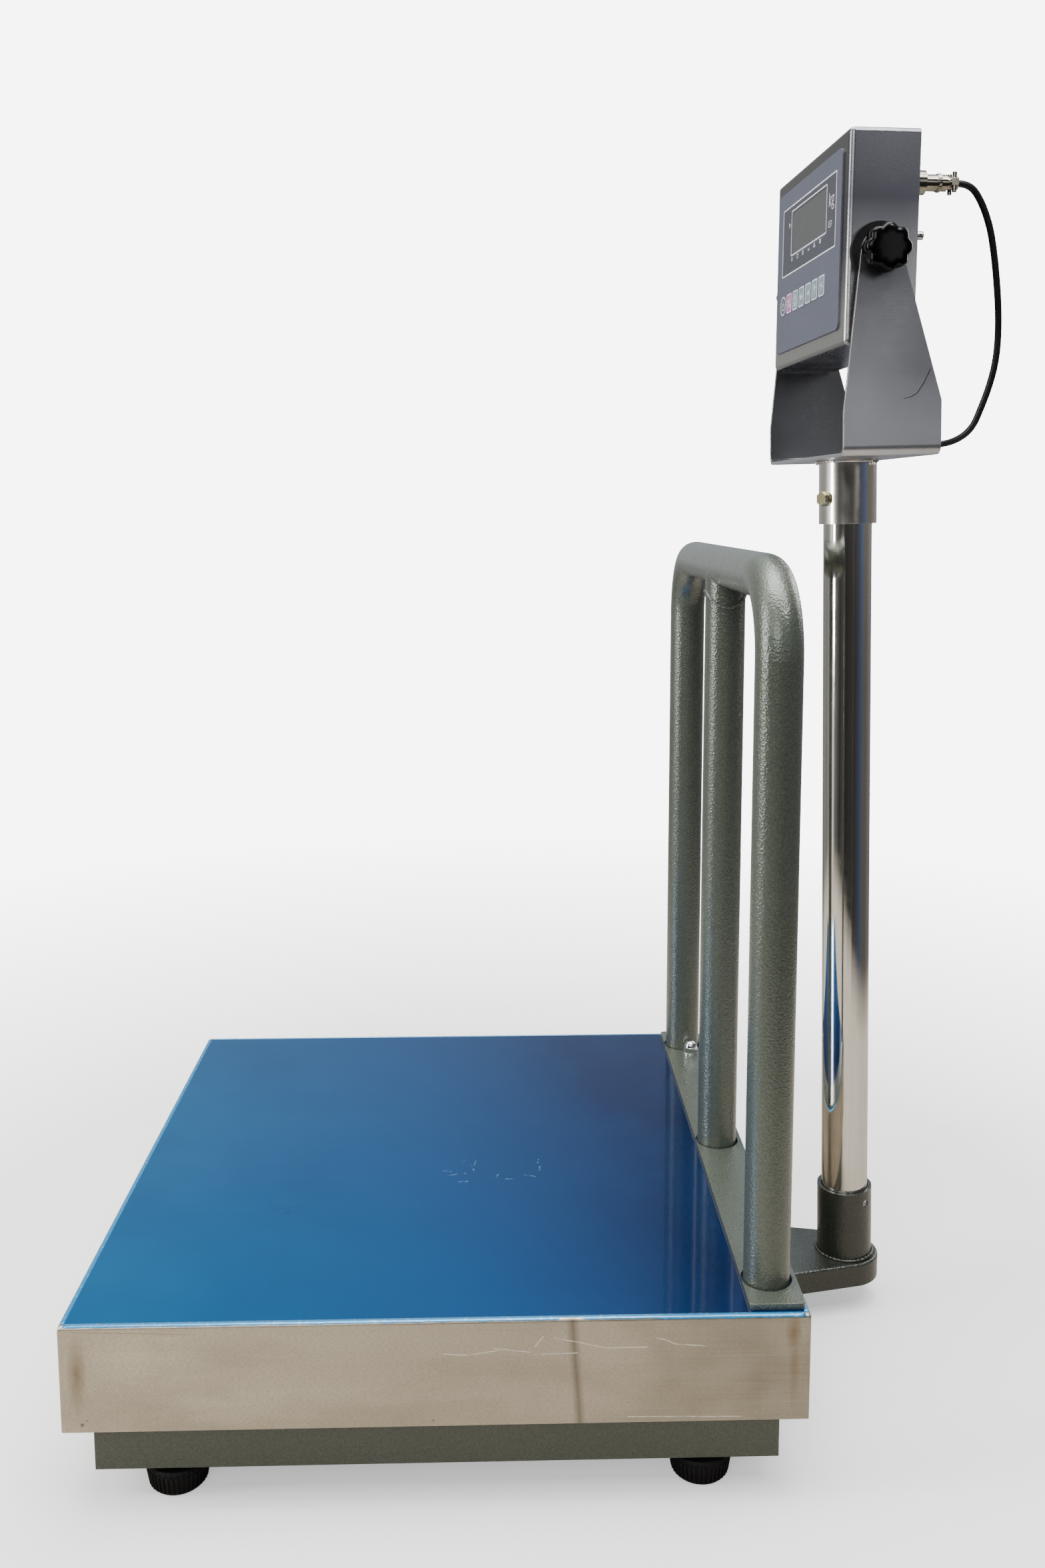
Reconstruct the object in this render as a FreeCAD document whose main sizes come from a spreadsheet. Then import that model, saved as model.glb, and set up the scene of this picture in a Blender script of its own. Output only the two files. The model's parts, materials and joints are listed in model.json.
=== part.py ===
import FreeCAD, Part

import math
import os
import re
from types import SimpleNamespace

import Sketcher
from FreeCAD import Placement, Rotation, Vector

# Platform shipping scale. X runs across the platform, -Y is the front (the display's side), +Y the
# column's side and Z is up. The origin is on the floor, at the middle of the whole scale's footprint.
# Three frames are used: the scale's own, the column's (it leans a little) and the indicator's.

os.makedirs("parts", exist_ok=True)
doc = FreeCAD.newDocument("shipping_scale")
sheet = doc.addObject("Spreadsheet::Sheet", "dims")
sheet.Label = "dims"

DIMENSIONS = {
    # platform pan, its film and the height it sits at
    "pan_side": 500, "pan_height": 75, "pan_sheet": 1.5, "pan_corner": 1.5, "pan_edge": 2.5, "pan_top": 136,
    "platform_y": -58, "film_thickness": 0.2, "film_margin": 1.5, "film_slit": 0.3,
    # base frame
    "frame_side": 467, "frame_bottom": 22, "rail_width": 40, "rail_height": 50, "rail_wall": 2,
    "beam_width": 60, "beam_height": 30, "beam_wall": 3, "beam_bottom": 30,
    "cable_hole": 4.5, "cable_hole_x": 38, "cable_hole_z": 31.5,
    # frame that carries the pan
    "upper_side": 478, "upper_tube": 30, "upper_wall": 2, "pad_radius": 14, "pad_height": 4,
    "plate_depth": 120, "plate_thickness": 5,
    # load cell between the two frames
    "cell_length": 150, "cell_width": 40, "cell_height": 25, "spacer_length": 48,
    "lower_spacer": 4, "cell_hole_out": 62, "cell_hole_in": 38, "cell_bolt": 4,
    "stop_x": 222, "stop_y": 140, "stop_gap": 0.8,
    # levelling feet
    "foot_height": 18, "foot_top_radius": 21.5, "foot_bottom_radius": 19, "foot_y": 182,
    "stud_radius": 5, "stud_top": 66, "nut_height": 4, "nut_flats": 17,
    # guard rail and the strip that it stands in
    "guard_radius": 16, "guard_wall": 2, "guard_x": 211, "guard_y": 227, "guard_top": 623,
    "guard_bend": 52, "guard_plug": 16, "strip_length": 487, "strip_width": 38,
    "strip_thickness": 4, "strip_y": 228.5, "strip_corner": 3, "strip_hole": 17.6, "bolt_radius": 4,
    "dome_x": 187.6, "dome_y": 232,
    # arm, socket and column
    "arm_height": 19, "arm_wall": 3, "arm_root": 102, "arm_end_radius": 28, "column_y": 280,
    "column_lean": 1.3, "column_radius": 19, "column_wall": 1.5, "column_length": 665,
    "socket_radius": 22.5, "socket_bore": 19.5, "socket_length": 59, "grub_radius": 3,
    "grub_height": 49, "grub_angle": 37,
    # swivelling head: sleeve, clamp screw and bracket
    "head_height": 666, "head_turn": 3.2, "sleeve_radius": 22.5, "sleeve_bore": 19.05,
    "sleeve_length": 50, "clamp_drop": 30, "clamp_angle": -66, "clamp_flats": 10,
    "bracket_width": 206, "bracket_depth": 72, "bracket_sheet": 2.5, "bracket_bend": 7,
    "pivot_rise": 143, "pivot_y": -9.3, "ear_radius": 14.5, "ear_front": 31, "ear_rear": 38.5,
    "grommet_radius": 11, "cable_radius": 2.5,
    # indicator, measured from its tilting axis
    "case_tilt": -1.6, "case_width": 192, "case_height": 151, "case_depth": 51.5,
    "case_front": 22.95, "case_drop": 64.7, "case_sheet": 1.5, "case_round": 4,
    "panel_width": 171.5, "panel_height": 127.3, "panel_thickness": 1.2, "panel_x": -2.2,
    "panel_z": 11.4, "panel_corner": 6, "window_width": 92.6, "window_height": 31.9,
    "window_x": 0.4, "window_z": 39.5, "window_lip": 1, "key_width": 15, "key_height": 16,
    "key_pitch": 18, "key_x": -49.2, "key_z": -15, "power_x": -66.8, "power_radius": 8,
    "key_gap": 0.15, "key_proud": 0.2, "key_air": 0.45, "plunger_radius": 2.5,
    "stud_bore": 4.1, "washer_radius": 21, "washer_thickness": 4.45, "knob_radius": 17,
    "knob_lobes": 8, "knob_length": 14.5, "knob_boss": 9, "lug_drop": 57, "lug_rise": 78.6,
    "plug_x": 80, "plug_z": 52, "plug_end": 62, "seal_x": 60, "seal_z": 19,
}

for row, (name, number) in enumerate(DIMENSIONS.items(), start=1):
    sheet.set(f"A{row}", name)
    sheet.set(f"B{row}", str(number))
    sheet.setAlias(f"B{row}", name)
doc.recompute()
d = SimpleNamespace(**DIMENSIONS)

# ---------------------------------------------------------------- frames

TURNED = {
    "Z": Rotation(),
    "-Z": Rotation(Vector(1, 0, 0), 180),
    "X": Rotation(Vector(0, 1, 0), 90),
    "-X": Rotation(Vector(0, 1, 0), -90),
    "Y": Rotation(Vector(1, 0, 0), -90),
    "-Y": Rotation(Vector(1, 0, 0), 90),
}
ARM_TOP = d.frame_bottom + d.arm_height
CASE_REAR = d.case_depth - d.case_front
LEAN = Rotation(Vector(1, 0, 0), d.column_lean)
PLATFORM = Placement(Vector(0, d.platform_y, 0), Rotation())
COLUMN = Placement(Vector(0, d.column_y, ARM_TOP), LEAN)
HEAD = COLUMN * Placement(Vector(), Rotation(Vector(0, 0, 1), d.head_turn))
PIVOT = Vector(0, d.pivot_y, d.head_height + d.pivot_rise)
INDICATOR = HEAD * Placement(PIVOT, Rotation(Vector(1, 0, 0), d.case_tilt))
CENTRE = Vector(d.pan_side / 2 - (d.pan_side - d.frame_side) / 2 - d.rail_width / 2, d.foot_y, 0)

# ---------------------------------------------------------------- helpers

parts = {}


def expression(text):
    """Name the sheet in front of each of its aliases."""
    return re.sub(r"[a-z]\w*", lambda word: f"dims.{word.group()}", str(text))


def bind(item, **sizes):
    """Tie properties of an object to expressions of the sheet."""
    for name, text in sizes.items():
        item.setExpression(name.replace("__", "."), expression(text))
    return item


def put(item, x, y, z, along="Z"):
    """Place an object at three expressions, with its own Z turned to an axis."""
    item.Placement = Placement(Vector(), TURNED[along])
    for axis, text in zip("xyz", (x, y, z)):
        item.setExpression(f"Placement.Base.{axis}", expression(text))
    return item


def block(length, width, height, x=0, y=0, z=0):
    """A box centred on x and y that stands on z."""
    item = bind(doc.addObject("Part::Box", "Box"), Length=length, Width=width, Height=height)
    return put(item, f"({x}) - ({length}) / 2", f"({y}) - ({width}) / 2", z)


def rod(radius, length, x=0, y=0, z=0, along="Z"):
    """A cylinder that starts at a point and runs along an axis."""
    item = bind(doc.addObject("Part::Cylinder", "Cylinder"), Radius=radius, Height=length)
    return put(item, x, y, z, along)


def hexagon(flats, length, x=0, y=0, z=0, along="Z"):
    """A hexagonal prism, sized across its flats."""
    item = doc.addObject("Part::Prism", "Prism")
    item.Polygon = 6
    bind(item, Circumradius=f"({flats}) / {math.sqrt(3)}", Height=length)
    return put(item, x, y, z, along)


def join(*items):
    if len(items) == 1:
        return items[0]
    result = doc.addObject("Part::MultiFuse", "Fuse")
    result.Shapes = list(items)
    return result


def cut(base, *tools):
    result = doc.addObject("Part::Cut", "Cut")
    result.Base = base
    result.Tool = join(*tools)
    return result


def overlap(first, second):
    result = doc.addObject("Part::Common", "Common")
    result.Base = first
    result.Tool = second
    return result


def part(label, items, frame=Placement()):
    """Register a sub-part: one solid, or a group of like pieces, placed in its frame."""
    items = items if isinstance(items, list) else [items]
    result = doc.addObject("Part::Compound", label)
    result.Links = items
    result.Label = label
    result.Placement = frame
    parts[label] = result


def body(name):
    return doc.addObject("PartDesign::Body", name)


def sketch(owner, plane, x=0, y=0, offset=0):
    """A sketch on one of its body's origin planes, shifted in the plane and along its normal."""
    item = owner.newObject("Sketcher::SketchObject", "Sketch")
    role = [p for p in owner.Origin.OriginFeatures if p.Role == f"{plane}_Plane"]
    item.AttachmentSupport = (role[0], [""])
    item.MapMode = "FlatFace"
    for axis, text in zip("xyz", (x, y, offset)):
        item.setExpression(f"AttachmentOffset.Base.{axis}", expression(text))
    return item


def rectangle(item, width, height):
    """A closed rectangle, centred on the sketch's origin, with its sides bound to the sheet."""
    corners = [Vector(-9, -5, 0), Vector(9, -5, 0), Vector(9, 5, 0), Vector(-9, 5, 0)]
    for i in range(4):
        item.addGeometry(Part.LineSegment(corners[i], corners[(i + 1) % 4]), False)
    for i in range(4):
        item.addConstraint(Sketcher.Constraint("Coincident", i, 2, (i + 1) % 4, 1))
    for i, kind in enumerate(("Horizontal", "Vertical", "Horizontal", "Vertical")):
        item.addConstraint(Sketcher.Constraint(kind, i))
    item.addConstraint(Sketcher.Constraint("Symmetric", 0, 1, 2, 1, -1, 1))
    across = item.addConstraint(Sketcher.Constraint("DistanceX", 0, 1, 0, 2, 18))
    up = item.addConstraint(Sketcher.Constraint("DistanceY", 1, 1, 1, 2, 10))
    item.setExpression(f"Constraints[{across}]", expression(width))
    item.setExpression(f"Constraints[{up}]", expression(height))
    return item


def circle(item, radius):
    """A circle on the sketch's origin, with its radius bound to the sheet."""
    item.addGeometry(Part.Circle(Vector(), Vector(0, 0, 1), 5), False)
    item.addConstraint(Sketcher.Constraint("Coincident", 0, 3, -1, 1))
    size = item.addConstraint(Sketcher.Constraint("Radius", 0, 5))
    item.setExpression(f"Constraints[{size}]", expression(radius))
    return item


def outline(item, edges):
    """A closed outline of lines and arcs, end to end."""
    for edge in edges:
        item.addGeometry(edge, False)
    for i in range(len(edges)):
        item.addConstraint(Sketcher.Constraint("Coincident", i, 2, (i + 1) % len(edges), 1))
    return item


def feature(owner, kind, profile, length, backwards=False):
    """Pad or pocket a sketch. A pocket is checked to have removed something."""
    before = owner.Shape.Volume if kind == "Pocket" else 0
    item = owner.newObject(f"PartDesign::{kind}", kind)
    item.Profile = profile
    item.Reversed = backwards
    bind(item, Length=length)
    doc.recompute()
    if kind == "Pocket" and owner.Shape.Volume > before - 0.01:
        raise RuntimeError(f"{owner.Name}: {item.Name} removes nothing")
    return item


def fillet(owner, base, radius, chosen):
    """Round the edges of a feature that the test picks."""
    names = [f"Edge{i}" for i, edge in enumerate(base.Shape.Edges, start=1) if chosen(edge)]
    item = owner.newObject("PartDesign::Fillet", "Fillet")
    item.Base = (base, names)
    bind(item, Radius=radius)
    doc.recompute()
    return item


def runs_along(axis):
    """A test for straight edges that are parallel to an axis."""
    def test(edge):
        if not isinstance(edge.Curve, Part.Line):
            return False
        return abs(edge.tangentAt(edge.FirstParameter)[axis]) > 0.999
    return test


def lies_at(axis, value):
    """A test for edges that lie wholly at one coordinate."""
    def test(edge):
        box = edge.BoundBox
        low, high = ((box.XMin, box.XMax), (box.YMin, box.YMax), (box.ZMin, box.ZMax))[axis]
        return abs(low - value) < 0.01 and abs(high - value) < 0.01
    return test


def tangent_point(point, centre, radius, side):
    """Where a line from a point touches a circle, on its left (1) or right (-1) side."""
    span = centre - point
    swing = side * math.asin(radius / span.Length)
    reach = math.sqrt(span.Length**2 - radius**2)
    heading = math.atan2(span.y, span.x) + swing
    return point + Vector(math.cos(heading), math.sin(heading), 0) * reach


def cable(route, radius):
    """A round cable along straight runs joined by tangent arcs as large as the runs allow."""
    points = [Vector(*p) for p in route]
    edges = []
    radii = []
    start = points[0]
    for before, corner, after in zip(points, points[1:], points[2:]):
        into = (corner - before).normalize()
        out = (after - corner).normalize()
        half_turn = into.getAngle(out) / 2
        setback = 0.45 * min((corner - before).Length, (after - corner).Length)
        arc_radius = setback / math.tan(half_turn)
        first = corner - into * setback
        last = corner + out * setback
        inward = (out - into).normalize()
        middle = corner + inward * (arc_radius / math.cos(half_turn) - arc_radius)
        edges.append(Part.LineSegment(start, first).toShape())
        edges.append(Part.Arc(first, middle, last).toShape())
        radii.append(round(arc_radius, 1))
        start = last
    edges.append(Part.LineSegment(start, points[-1]).toShape())
    path = Part.Wire(edges)
    section = Part.Circle(points[0], points[1] - points[0], radius).toShape()
    tube = path.makePipeShell([Part.Wire([section])], True, True)
    expected = math.pi * radius**2 * path.Length
    print("cable length", round(path.Length, 1), "bend radii", radii)
    if abs(tube.Volume / expected - 1) > 0.01:
        raise RuntimeError("the cable's volume is not its section times its length")
    item = doc.addObject("Part::Feature", "Cable")
    item.Shape = tube
    return item


# ---------------------------------------------------------------- base frame


def square_tube(length, width, height, wall, x, y, z, lengthwise):
    """A rectangular tube that lies along X or Y."""
    inner_width = f"({width}) - 2 * {wall}"
    inner_height = f"({height}) - 2 * {wall}"
    inner_z = f"({z}) + {wall}"
    if lengthwise == "X":
        outer = block(length, width, height, x, y, z)
        return cut(outer, block(length, inner_width, inner_height, x, y, inner_z))
    outer = block(width, length, height, x, y, z)
    return cut(outer, block(inner_width, length, inner_height, x, y, inner_z))


def base_frame():
    side_x = "frame_side / 2 - rail_width / 2"
    cross_length = "frame_side - 2 * rail_width"
    rails = []
    for sign in ("-", ""):
        rail = square_tube("frame_side", "rail_width", "rail_height", "rail_wall",
                           f"{sign}({side_x})", 0, "frame_bottom", "Y")
        holes = [rod("stud_radius + 0.2", 6, f"{sign}({side_x})", f"{end}foot_y",
                     "frame_bottom - 2") for end in ("-", "")]
        rails.append(cut(rail, *holes))
    front = square_tube(cross_length, "rail_width", "rail_height", "rail_wall",
                        0, f"-({side_x})", "frame_bottom", "X")
    back = square_tube(cross_length, "rail_width", "rail_height", "rail_wall",
                       0, side_x, "frame_bottom", "X")
    cable_way = rod("cable_hole", "rail_width + 4", "cable_hole_x",
                    "frame_side / 2 + 2", "cable_hole_z", "-Y")
    part("base_rails", rails + [front, cut(back, cable_way)], PLATFORM)

    beam = square_tube(cross_length, "beam_width", "beam_height", "beam_wall",
                       0, 0, "beam_bottom", "Y")
    bolt_holes = [rod("cell_bolt + 0.2", "beam_height + 2", 0, y, "beam_bottom - 1")
                  for y in ("cell_hole_in", "cell_hole_out")]
    part("base_centre_beam", cut(beam, *bolt_holes), PLATFORM)


def feet():
    """Four levelling feet: ribbed pads on studs, each locked by a nut under its rail."""
    nuts = []
    corners = {"front_left": ("-", "-"), "front_right": ("", "-"),
               "back_left": ("-", ""), "back_right": ("", "")}
    for name, (x_sign, y_sign) in corners.items():
        x = f"{x_sign}{CENTRE.x}"
        y = f"{y_sign}foot_y"
        place = Placement(Vector(float(x), float(f"{y_sign}{CENTRE.y}"), 0) + PLATFORM.Base,
                          Rotation())
        part(f"foot_pad_{name}", foot_pad(name), place)
        part(f"foot_stud_{name}",
             rod("stud_radius", "stud_top - foot_height + 10", 0, 0, "foot_height - 10"), place)
        nut = hexagon("nut_flats", "nut_height", x, y, "foot_height")
        nuts.append(cut(nut, rod("stud_radius + 0.05", 10, x, y, "foot_height - 3")))
    part("foot_lock_nuts", nuts, PLATFORM)


def foot_pad(name):
    """A round pad that tapers to the floor, with flutes round its side."""
    pad = body(f"Foot_{name}")
    profile = sketch(pad, "XZ")
    ring = [Vector(0, 0, 0), Vector(d.foot_bottom_radius - 1, 0, 0),
            Vector(d.foot_bottom_radius, 1, 0), Vector(d.foot_top_radius, d.foot_height - 1.5, 0),
            Vector(d.foot_top_radius - 1.5, d.foot_height, 0), Vector(0, d.foot_height, 0)]
    outline(profile, [Part.LineSegment(a, b) for a, b in zip(ring, ring[1:] + ring[:1])])
    turned = pad.newObject("PartDesign::Revolution", "Revolution")
    turned.Profile = profile
    turned.ReferenceAxis = (profile, ["V_Axis"])
    turned.Angle = 360
    doc.recompute()
    socket = feature(pad, "Pocket", circle(sketch(pad, "XY", 0, 0, "foot_height"), "stud_radius"), 10)
    flute = feature(pad, "Pocket",
                    circle(sketch(pad, "XY", "foot_top_radius + 0.4", 0, "foot_height + 1"), 1.1),
                    "foot_height - 2")
    ring_of_flutes = pad.newObject("PartDesign::PolarPattern", "PolarPattern")
    ring_of_flutes.Originals = [flute]
    ring_of_flutes.Axis = (profile, ["V_Axis"])
    ring_of_flutes.Angle = 360
    ring_of_flutes.Occurrences = 32
    pad.Tip = ring_of_flutes
    doc.recompute()
    if socket.Shape.Volume <= ring_of_flutes.Shape.Volume:
        raise RuntimeError("the foot's flutes remove nothing")
    return pad


# ---------------------------------------------------------------- load cell and upper frame


def load_cell():
    """The bar that is bolted to the base at its back and to the upper frame at its front."""
    cell_bottom = "beam_bottom + beam_height + lower_spacer"
    cell_top = f"{cell_bottom} + cell_height"
    plate_bottom = "pan_top - pan_sheet - pad_height - upper_tube - plate_thickness"
    upper_spacer = f"{plate_bottom} - ({cell_top})"
    spacer_y = "cell_length / 2 - spacer_length / 2"
    bar = block("cell_width", "cell_length", "cell_height", 0, 0, cell_bottom)
    windows = [rod(8, "cell_width + 2", "-cell_width / 2 - 1", y,
                   f"{cell_bottom} + cell_height / 2", "X") for y in (-10, 10)]
    slot = block("cell_width + 2", 20, 9, 0, 0, f"{cell_bottom} + cell_height / 2 - 4.5")
    rows = ("cell_hole_in", "cell_hole_out")
    low = [rod("cell_bolt + 0.05", 16, 0, y, f"{cell_bottom} - 1") for y in rows]
    high = [rod("cell_bolt + 0.05", 16, 0, f"-{y}", f"{cell_top} - 15") for y in rows]
    part("load_cell", cut(bar, slot, *windows, *low, *high), PLATFORM)

    def spacer(y_sign, thickness, z):
        slab = block("cell_width", "spacer_length", thickness, 0, f"{y_sign}({spacer_y})", z)
        return cut(slab, *[rod("cell_bolt + 0.2", 20, 0, f"{y_sign}{y}", f"({z}) - 5") for y in rows])

    part("load_cell_lower_spacer",
         spacer("", "lower_spacer", "beam_bottom + beam_height"), PLATFORM)
    part("load_cell_upper_spacer", spacer("-", upper_spacer, cell_top), PLATFORM)
    bolt_length = "5 + beam_height + lower_spacer + 12"
    lower = [join(hexagon(13, 5, 0, y, "beam_bottom - 5"),
                  rod("cell_bolt", bolt_length, 0, y, "beam_bottom - 5")) for y in rows]
    part("load_cell_lower_bolts", lower, PLATFORM)
    head_z = f"{plate_bottom} + plate_thickness"
    upper = [join(hexagon(13, 5, 0, f"-{y}", head_z),
                  rod("cell_bolt", f"plate_thickness + {upper_spacer} + 17", 0, f"-{y}",
                      f"{head_z} + 5", "-Z")) for y in rows]
    part("load_cell_upper_bolts", upper, PLATFORM)

    plate = block("upper_side", "plate_depth", "plate_thickness", 0, 0, plate_bottom)
    plate_holes = [rod("cell_bolt + 0.2", 20, 0, f"-{y}", f"{plate_bottom} - 5") for y in rows]
    part("upper_centre_plate", cut(plate, *plate_holes), PLATFORM)


def upper_frame():
    """Square tubes under the pan, their rubber pads and the stops that limit an overload."""
    top = "pan_top - pan_sheet - pad_height"
    tube_z = f"{top} - upper_tube"
    side = "upper_side / 2 - upper_tube / 2"
    cross_length = "upper_side - 2 * upper_tube"
    rails = [square_tube("upper_side - upper_tube", "upper_tube", "upper_tube", "upper_wall",
                         f"{sign}({side})", "-upper_tube / 2", tube_z, "Y") for sign in ("-", "")]
    rails.append(square_tube(cross_length, "upper_tube", "upper_tube", "upper_wall",
                             0, f"-({side})", tube_z, "X"))
    back = square_tube("upper_side", "upper_tube", "upper_tube", "upper_wall", 0, side, tube_z, "X")
    bolt_ways = [rod("bolt_radius + 0.2", "upper_tube + 4", x, y, f"{tube_z} - 2")
                 for x, y in guard_bolt_places()]
    rails.append(cut(back, *bolt_ways))
    part("upper_rails", rails, PLATFORM)

    pads = [rod("pad_radius", "pad_height", f"{x}({side})", f"{y}140", top)
            for x in ("-", "") for y in ("-", "")]
    part("pan_pads", pads, PLATFORM)

    stops = []
    for x in ("-stop_x", "stop_x"):
        for y in ("-stop_y", "stop_y"):
            rise = f"{tube_z} - stop_gap - frame_bottom - rail_height"
            stops.append(join(rod(5, rise, x, y, "frame_bottom + rail_height"),
                              hexagon(17, 8, x, y, "frame_bottom + rail_height"),
                              hexagon(17, 6, x, y, f"{tube_z} - stop_gap - 6")))
    part("overload_stops", stops, PLATFORM)


# ---------------------------------------------------------------- pan and guard rail


def guard_bolt_places():
    """Where bolts rise from the upper frame: three into the guard's posts, two into dome nuts."""
    posts = [(x, "guard_y") for x in ("-guard_x", 0, "guard_x")]
    return posts + [(x, "dome_y") for x in ("-dome_x", "dome_x")]


def pan():
    """The stainless cover that the load stands on, with its folded skirt."""
    shell = body("Pan")
    top = feature(shell, "Pad", rectangle(sketch(shell, "XY"), "pan_side", "pan_side"), "pan_height")
    rounded = fillet(shell, top, "pan_corner", runs_along(2))
    fillet(shell, rounded, "pan_edge", lies_at(2, d.pan_height))
    feature(shell, "Pocket",
            rectangle(sketch(shell, "XY"), "pan_side - 2 * pan_sheet", "pan_side - 2 * pan_sheet"),
            "pan_height - pan_sheet", True)
    for x, y in guard_bolt_places():
        hole = "guard_radius + 0.3" if y == "guard_y" else "bolt_radius + 0.2"
        feature(shell, "Pocket", circle(sketch(shell, "XY", x, y, "pan_height"), hole), 5)
    part("pan", shell, Placement(PLATFORM.Base + Vector(0, 0, d.pan_top - d.pan_height), Rotation()))

    film = body("Film")
    side = "pan_side - 2 * (pan_edge + film_margin)"
    sheet_of_film = feature(film, "Pad", rectangle(sketch(film, "XY"), side, side), "film_thickness")
    fillet(film, sheet_of_film, "pan_corner", runs_along(2))
    for x, y in guard_bolt_places():
        hole = "guard_radius + 0.3" if y == "guard_y" else "bolt_radius + 0.2"
        feature(film, "Pocket", circle(sketch(film, "XY", x, y, "film_thickness"), hole), 1)
    slit = block("pan_side", "film_slit", 2, 0, "strip_y - strip_width / 2 - 0.5", -1)
    part("pan_film", cut(film, slit), Placement(PLATFORM.Base + Vector(0, 0, d.pan_top), Rotation()))


def guard():
    """The rail that stops parcels at the back: a bent tube, a middle post and their strip."""
    strip = body("Strip")
    bar = feature(strip, "Pad",
                  rectangle(sketch(strip, "XY"), "strip_length", "strip_width"), "strip_thickness")
    fillet(strip, bar, "strip_corner", runs_along(2))
    for x, y in guard_bolt_places():
        hole = "strip_hole" if y == "guard_y" else "bolt_radius + 0.2"
        feature(strip, "Pocket",
                circle(sketch(strip, "XY", x, f"{y} - strip_y", "strip_thickness"), hole), 8)
    strip_base = Vector(0, d.platform_y + d.strip_y, d.pan_top + d.film_thickness)
    part("guard_strip", strip, Placement(strip_base, Rotation()))

    foot_z = d.pan_top - d.pan_sheet - d.pad_height
    rise = d.guard_top - foot_z
    hoop = body("Hoop")
    bend_pipe(hoop, "AdditivePipe", "guard_radius", rise, 0)
    bend_pipe(hoop, "SubtractivePipe", "guard_radius - guard_wall", rise, d.guard_plug)
    for x in ("-guard_x", "guard_x"):
        feature(hoop, "Pocket", circle(sketch(hoop, "XY", x), "bolt_radius + 0.05"),
                "guard_plug + 1", True)
    place = Placement(Vector(0, d.platform_y + d.guard_y, foot_z), Rotation())
    part("guard_hoop", hoop, place)

    post_length = f"guard_top - 4 - {foot_z}"
    post = cut(rod("guard_radius", post_length),
               rod("guard_radius - guard_wall", post_length, 0, 0, "guard_plug"),
               rod("bolt_radius + 0.05", "guard_plug + 1"),
               rod("guard_radius", 100, -50, 0, f"guard_top - {foot_z}", "X"))
    part("guard_middle_post", post, place)

    base_z = "pan_top - pan_sheet - pad_height - upper_tube"
    bolts = []
    domes = []
    for x, y in guard_bolt_places():
        bolts.append(join(hexagon(13, 5, x, y, f"{base_z} - 5"),
                          rod("bolt_radius", "upper_tube + 20", x, y, f"{base_z} - 5")))
    strip_top = "pan_top + film_thickness + strip_thickness"
    for x, y in guard_bolt_places()[3:]:
        nut = join(hexagon(13, 6.5, x, y, strip_top), dome(x, y, f"{strip_top} + 6.5"),
                   rod(7.4, 1.4, x, y, strip_top))
        domes.append(cut(nut, rod("bolt_radius + 0.05", 8, x, y, f"{strip_top} - 1")))
    part("guard_bolts", bolts, PLATFORM)
    part("guard_dome_nuts", domes, PLATFORM)


def dome(x, y, z):
    """The round cap of a dome nut."""
    item = doc.addObject("Part::Sphere", "Sphere")
    bind(item, Radius=6)
    item.Angle1 = 0
    return put(item, x, y, z)


def bend_pipe(owner, kind, radius, rise, start):
    """Sweep a round section up one post, over the top bar and down the other post."""
    bend = d.guard_bend
    reach = d.guard_x
    corner = bend * (1 - math.sqrt(0.5))
    path = sketch(owner, "XZ")
    left = Part.LineSegment(Vector(-reach, start, 0), Vector(-reach, rise - bend, 0))
    left_bend = Part.Arc(Vector(-reach, rise - bend, 0),
                         Vector(-reach + corner, rise - corner, 0), Vector(-reach + bend, rise, 0))
    top = Part.LineSegment(Vector(-reach + bend, rise, 0), Vector(reach - bend, rise, 0))
    right_bend = Part.Arc(Vector(reach - bend, rise, 0),
                          Vector(reach - corner, rise - corner, 0), Vector(reach, rise - bend, 0))
    right = Part.LineSegment(Vector(reach, rise - bend, 0), Vector(reach, start, 0))
    for edge in (left, left_bend, top, right_bend, right):
        path.addGeometry(edge, False)
    section = circle(sketch(owner, "XY", "-guard_x", 0, start), radius)
    doc.recompute()
    pipe = owner.newObject(f"PartDesign::{kind}", kind)
    pipe.Profile = section
    pipe.Spine = (path, [f"Edge{i}" for i in range(1, 6)])
    doc.recompute()


# ---------------------------------------------------------------- arm, socket and column


def arm_outline(inset, front):
    """A tapered outline that ends in an arc round the column, each side inset alike."""
    centre = Vector(0, d.column_y, 0)
    radius = d.arm_end_radius - inset
    root = Vector(d.arm_root / 2 - inset, front, 0)
    touch = tangent_point(root, centre, radius, -1)
    mirrored = Vector(-touch.x, touch.y, 0)
    return [Part.LineSegment(Vector(-root.x, front, 0), root),
            Part.LineSegment(root, touch),
            Part.Arc(touch, centre + Vector(0, radius, 0), mirrored),
            Part.LineSegment(mirrored, Vector(-root.x, front, 0))]


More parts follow.
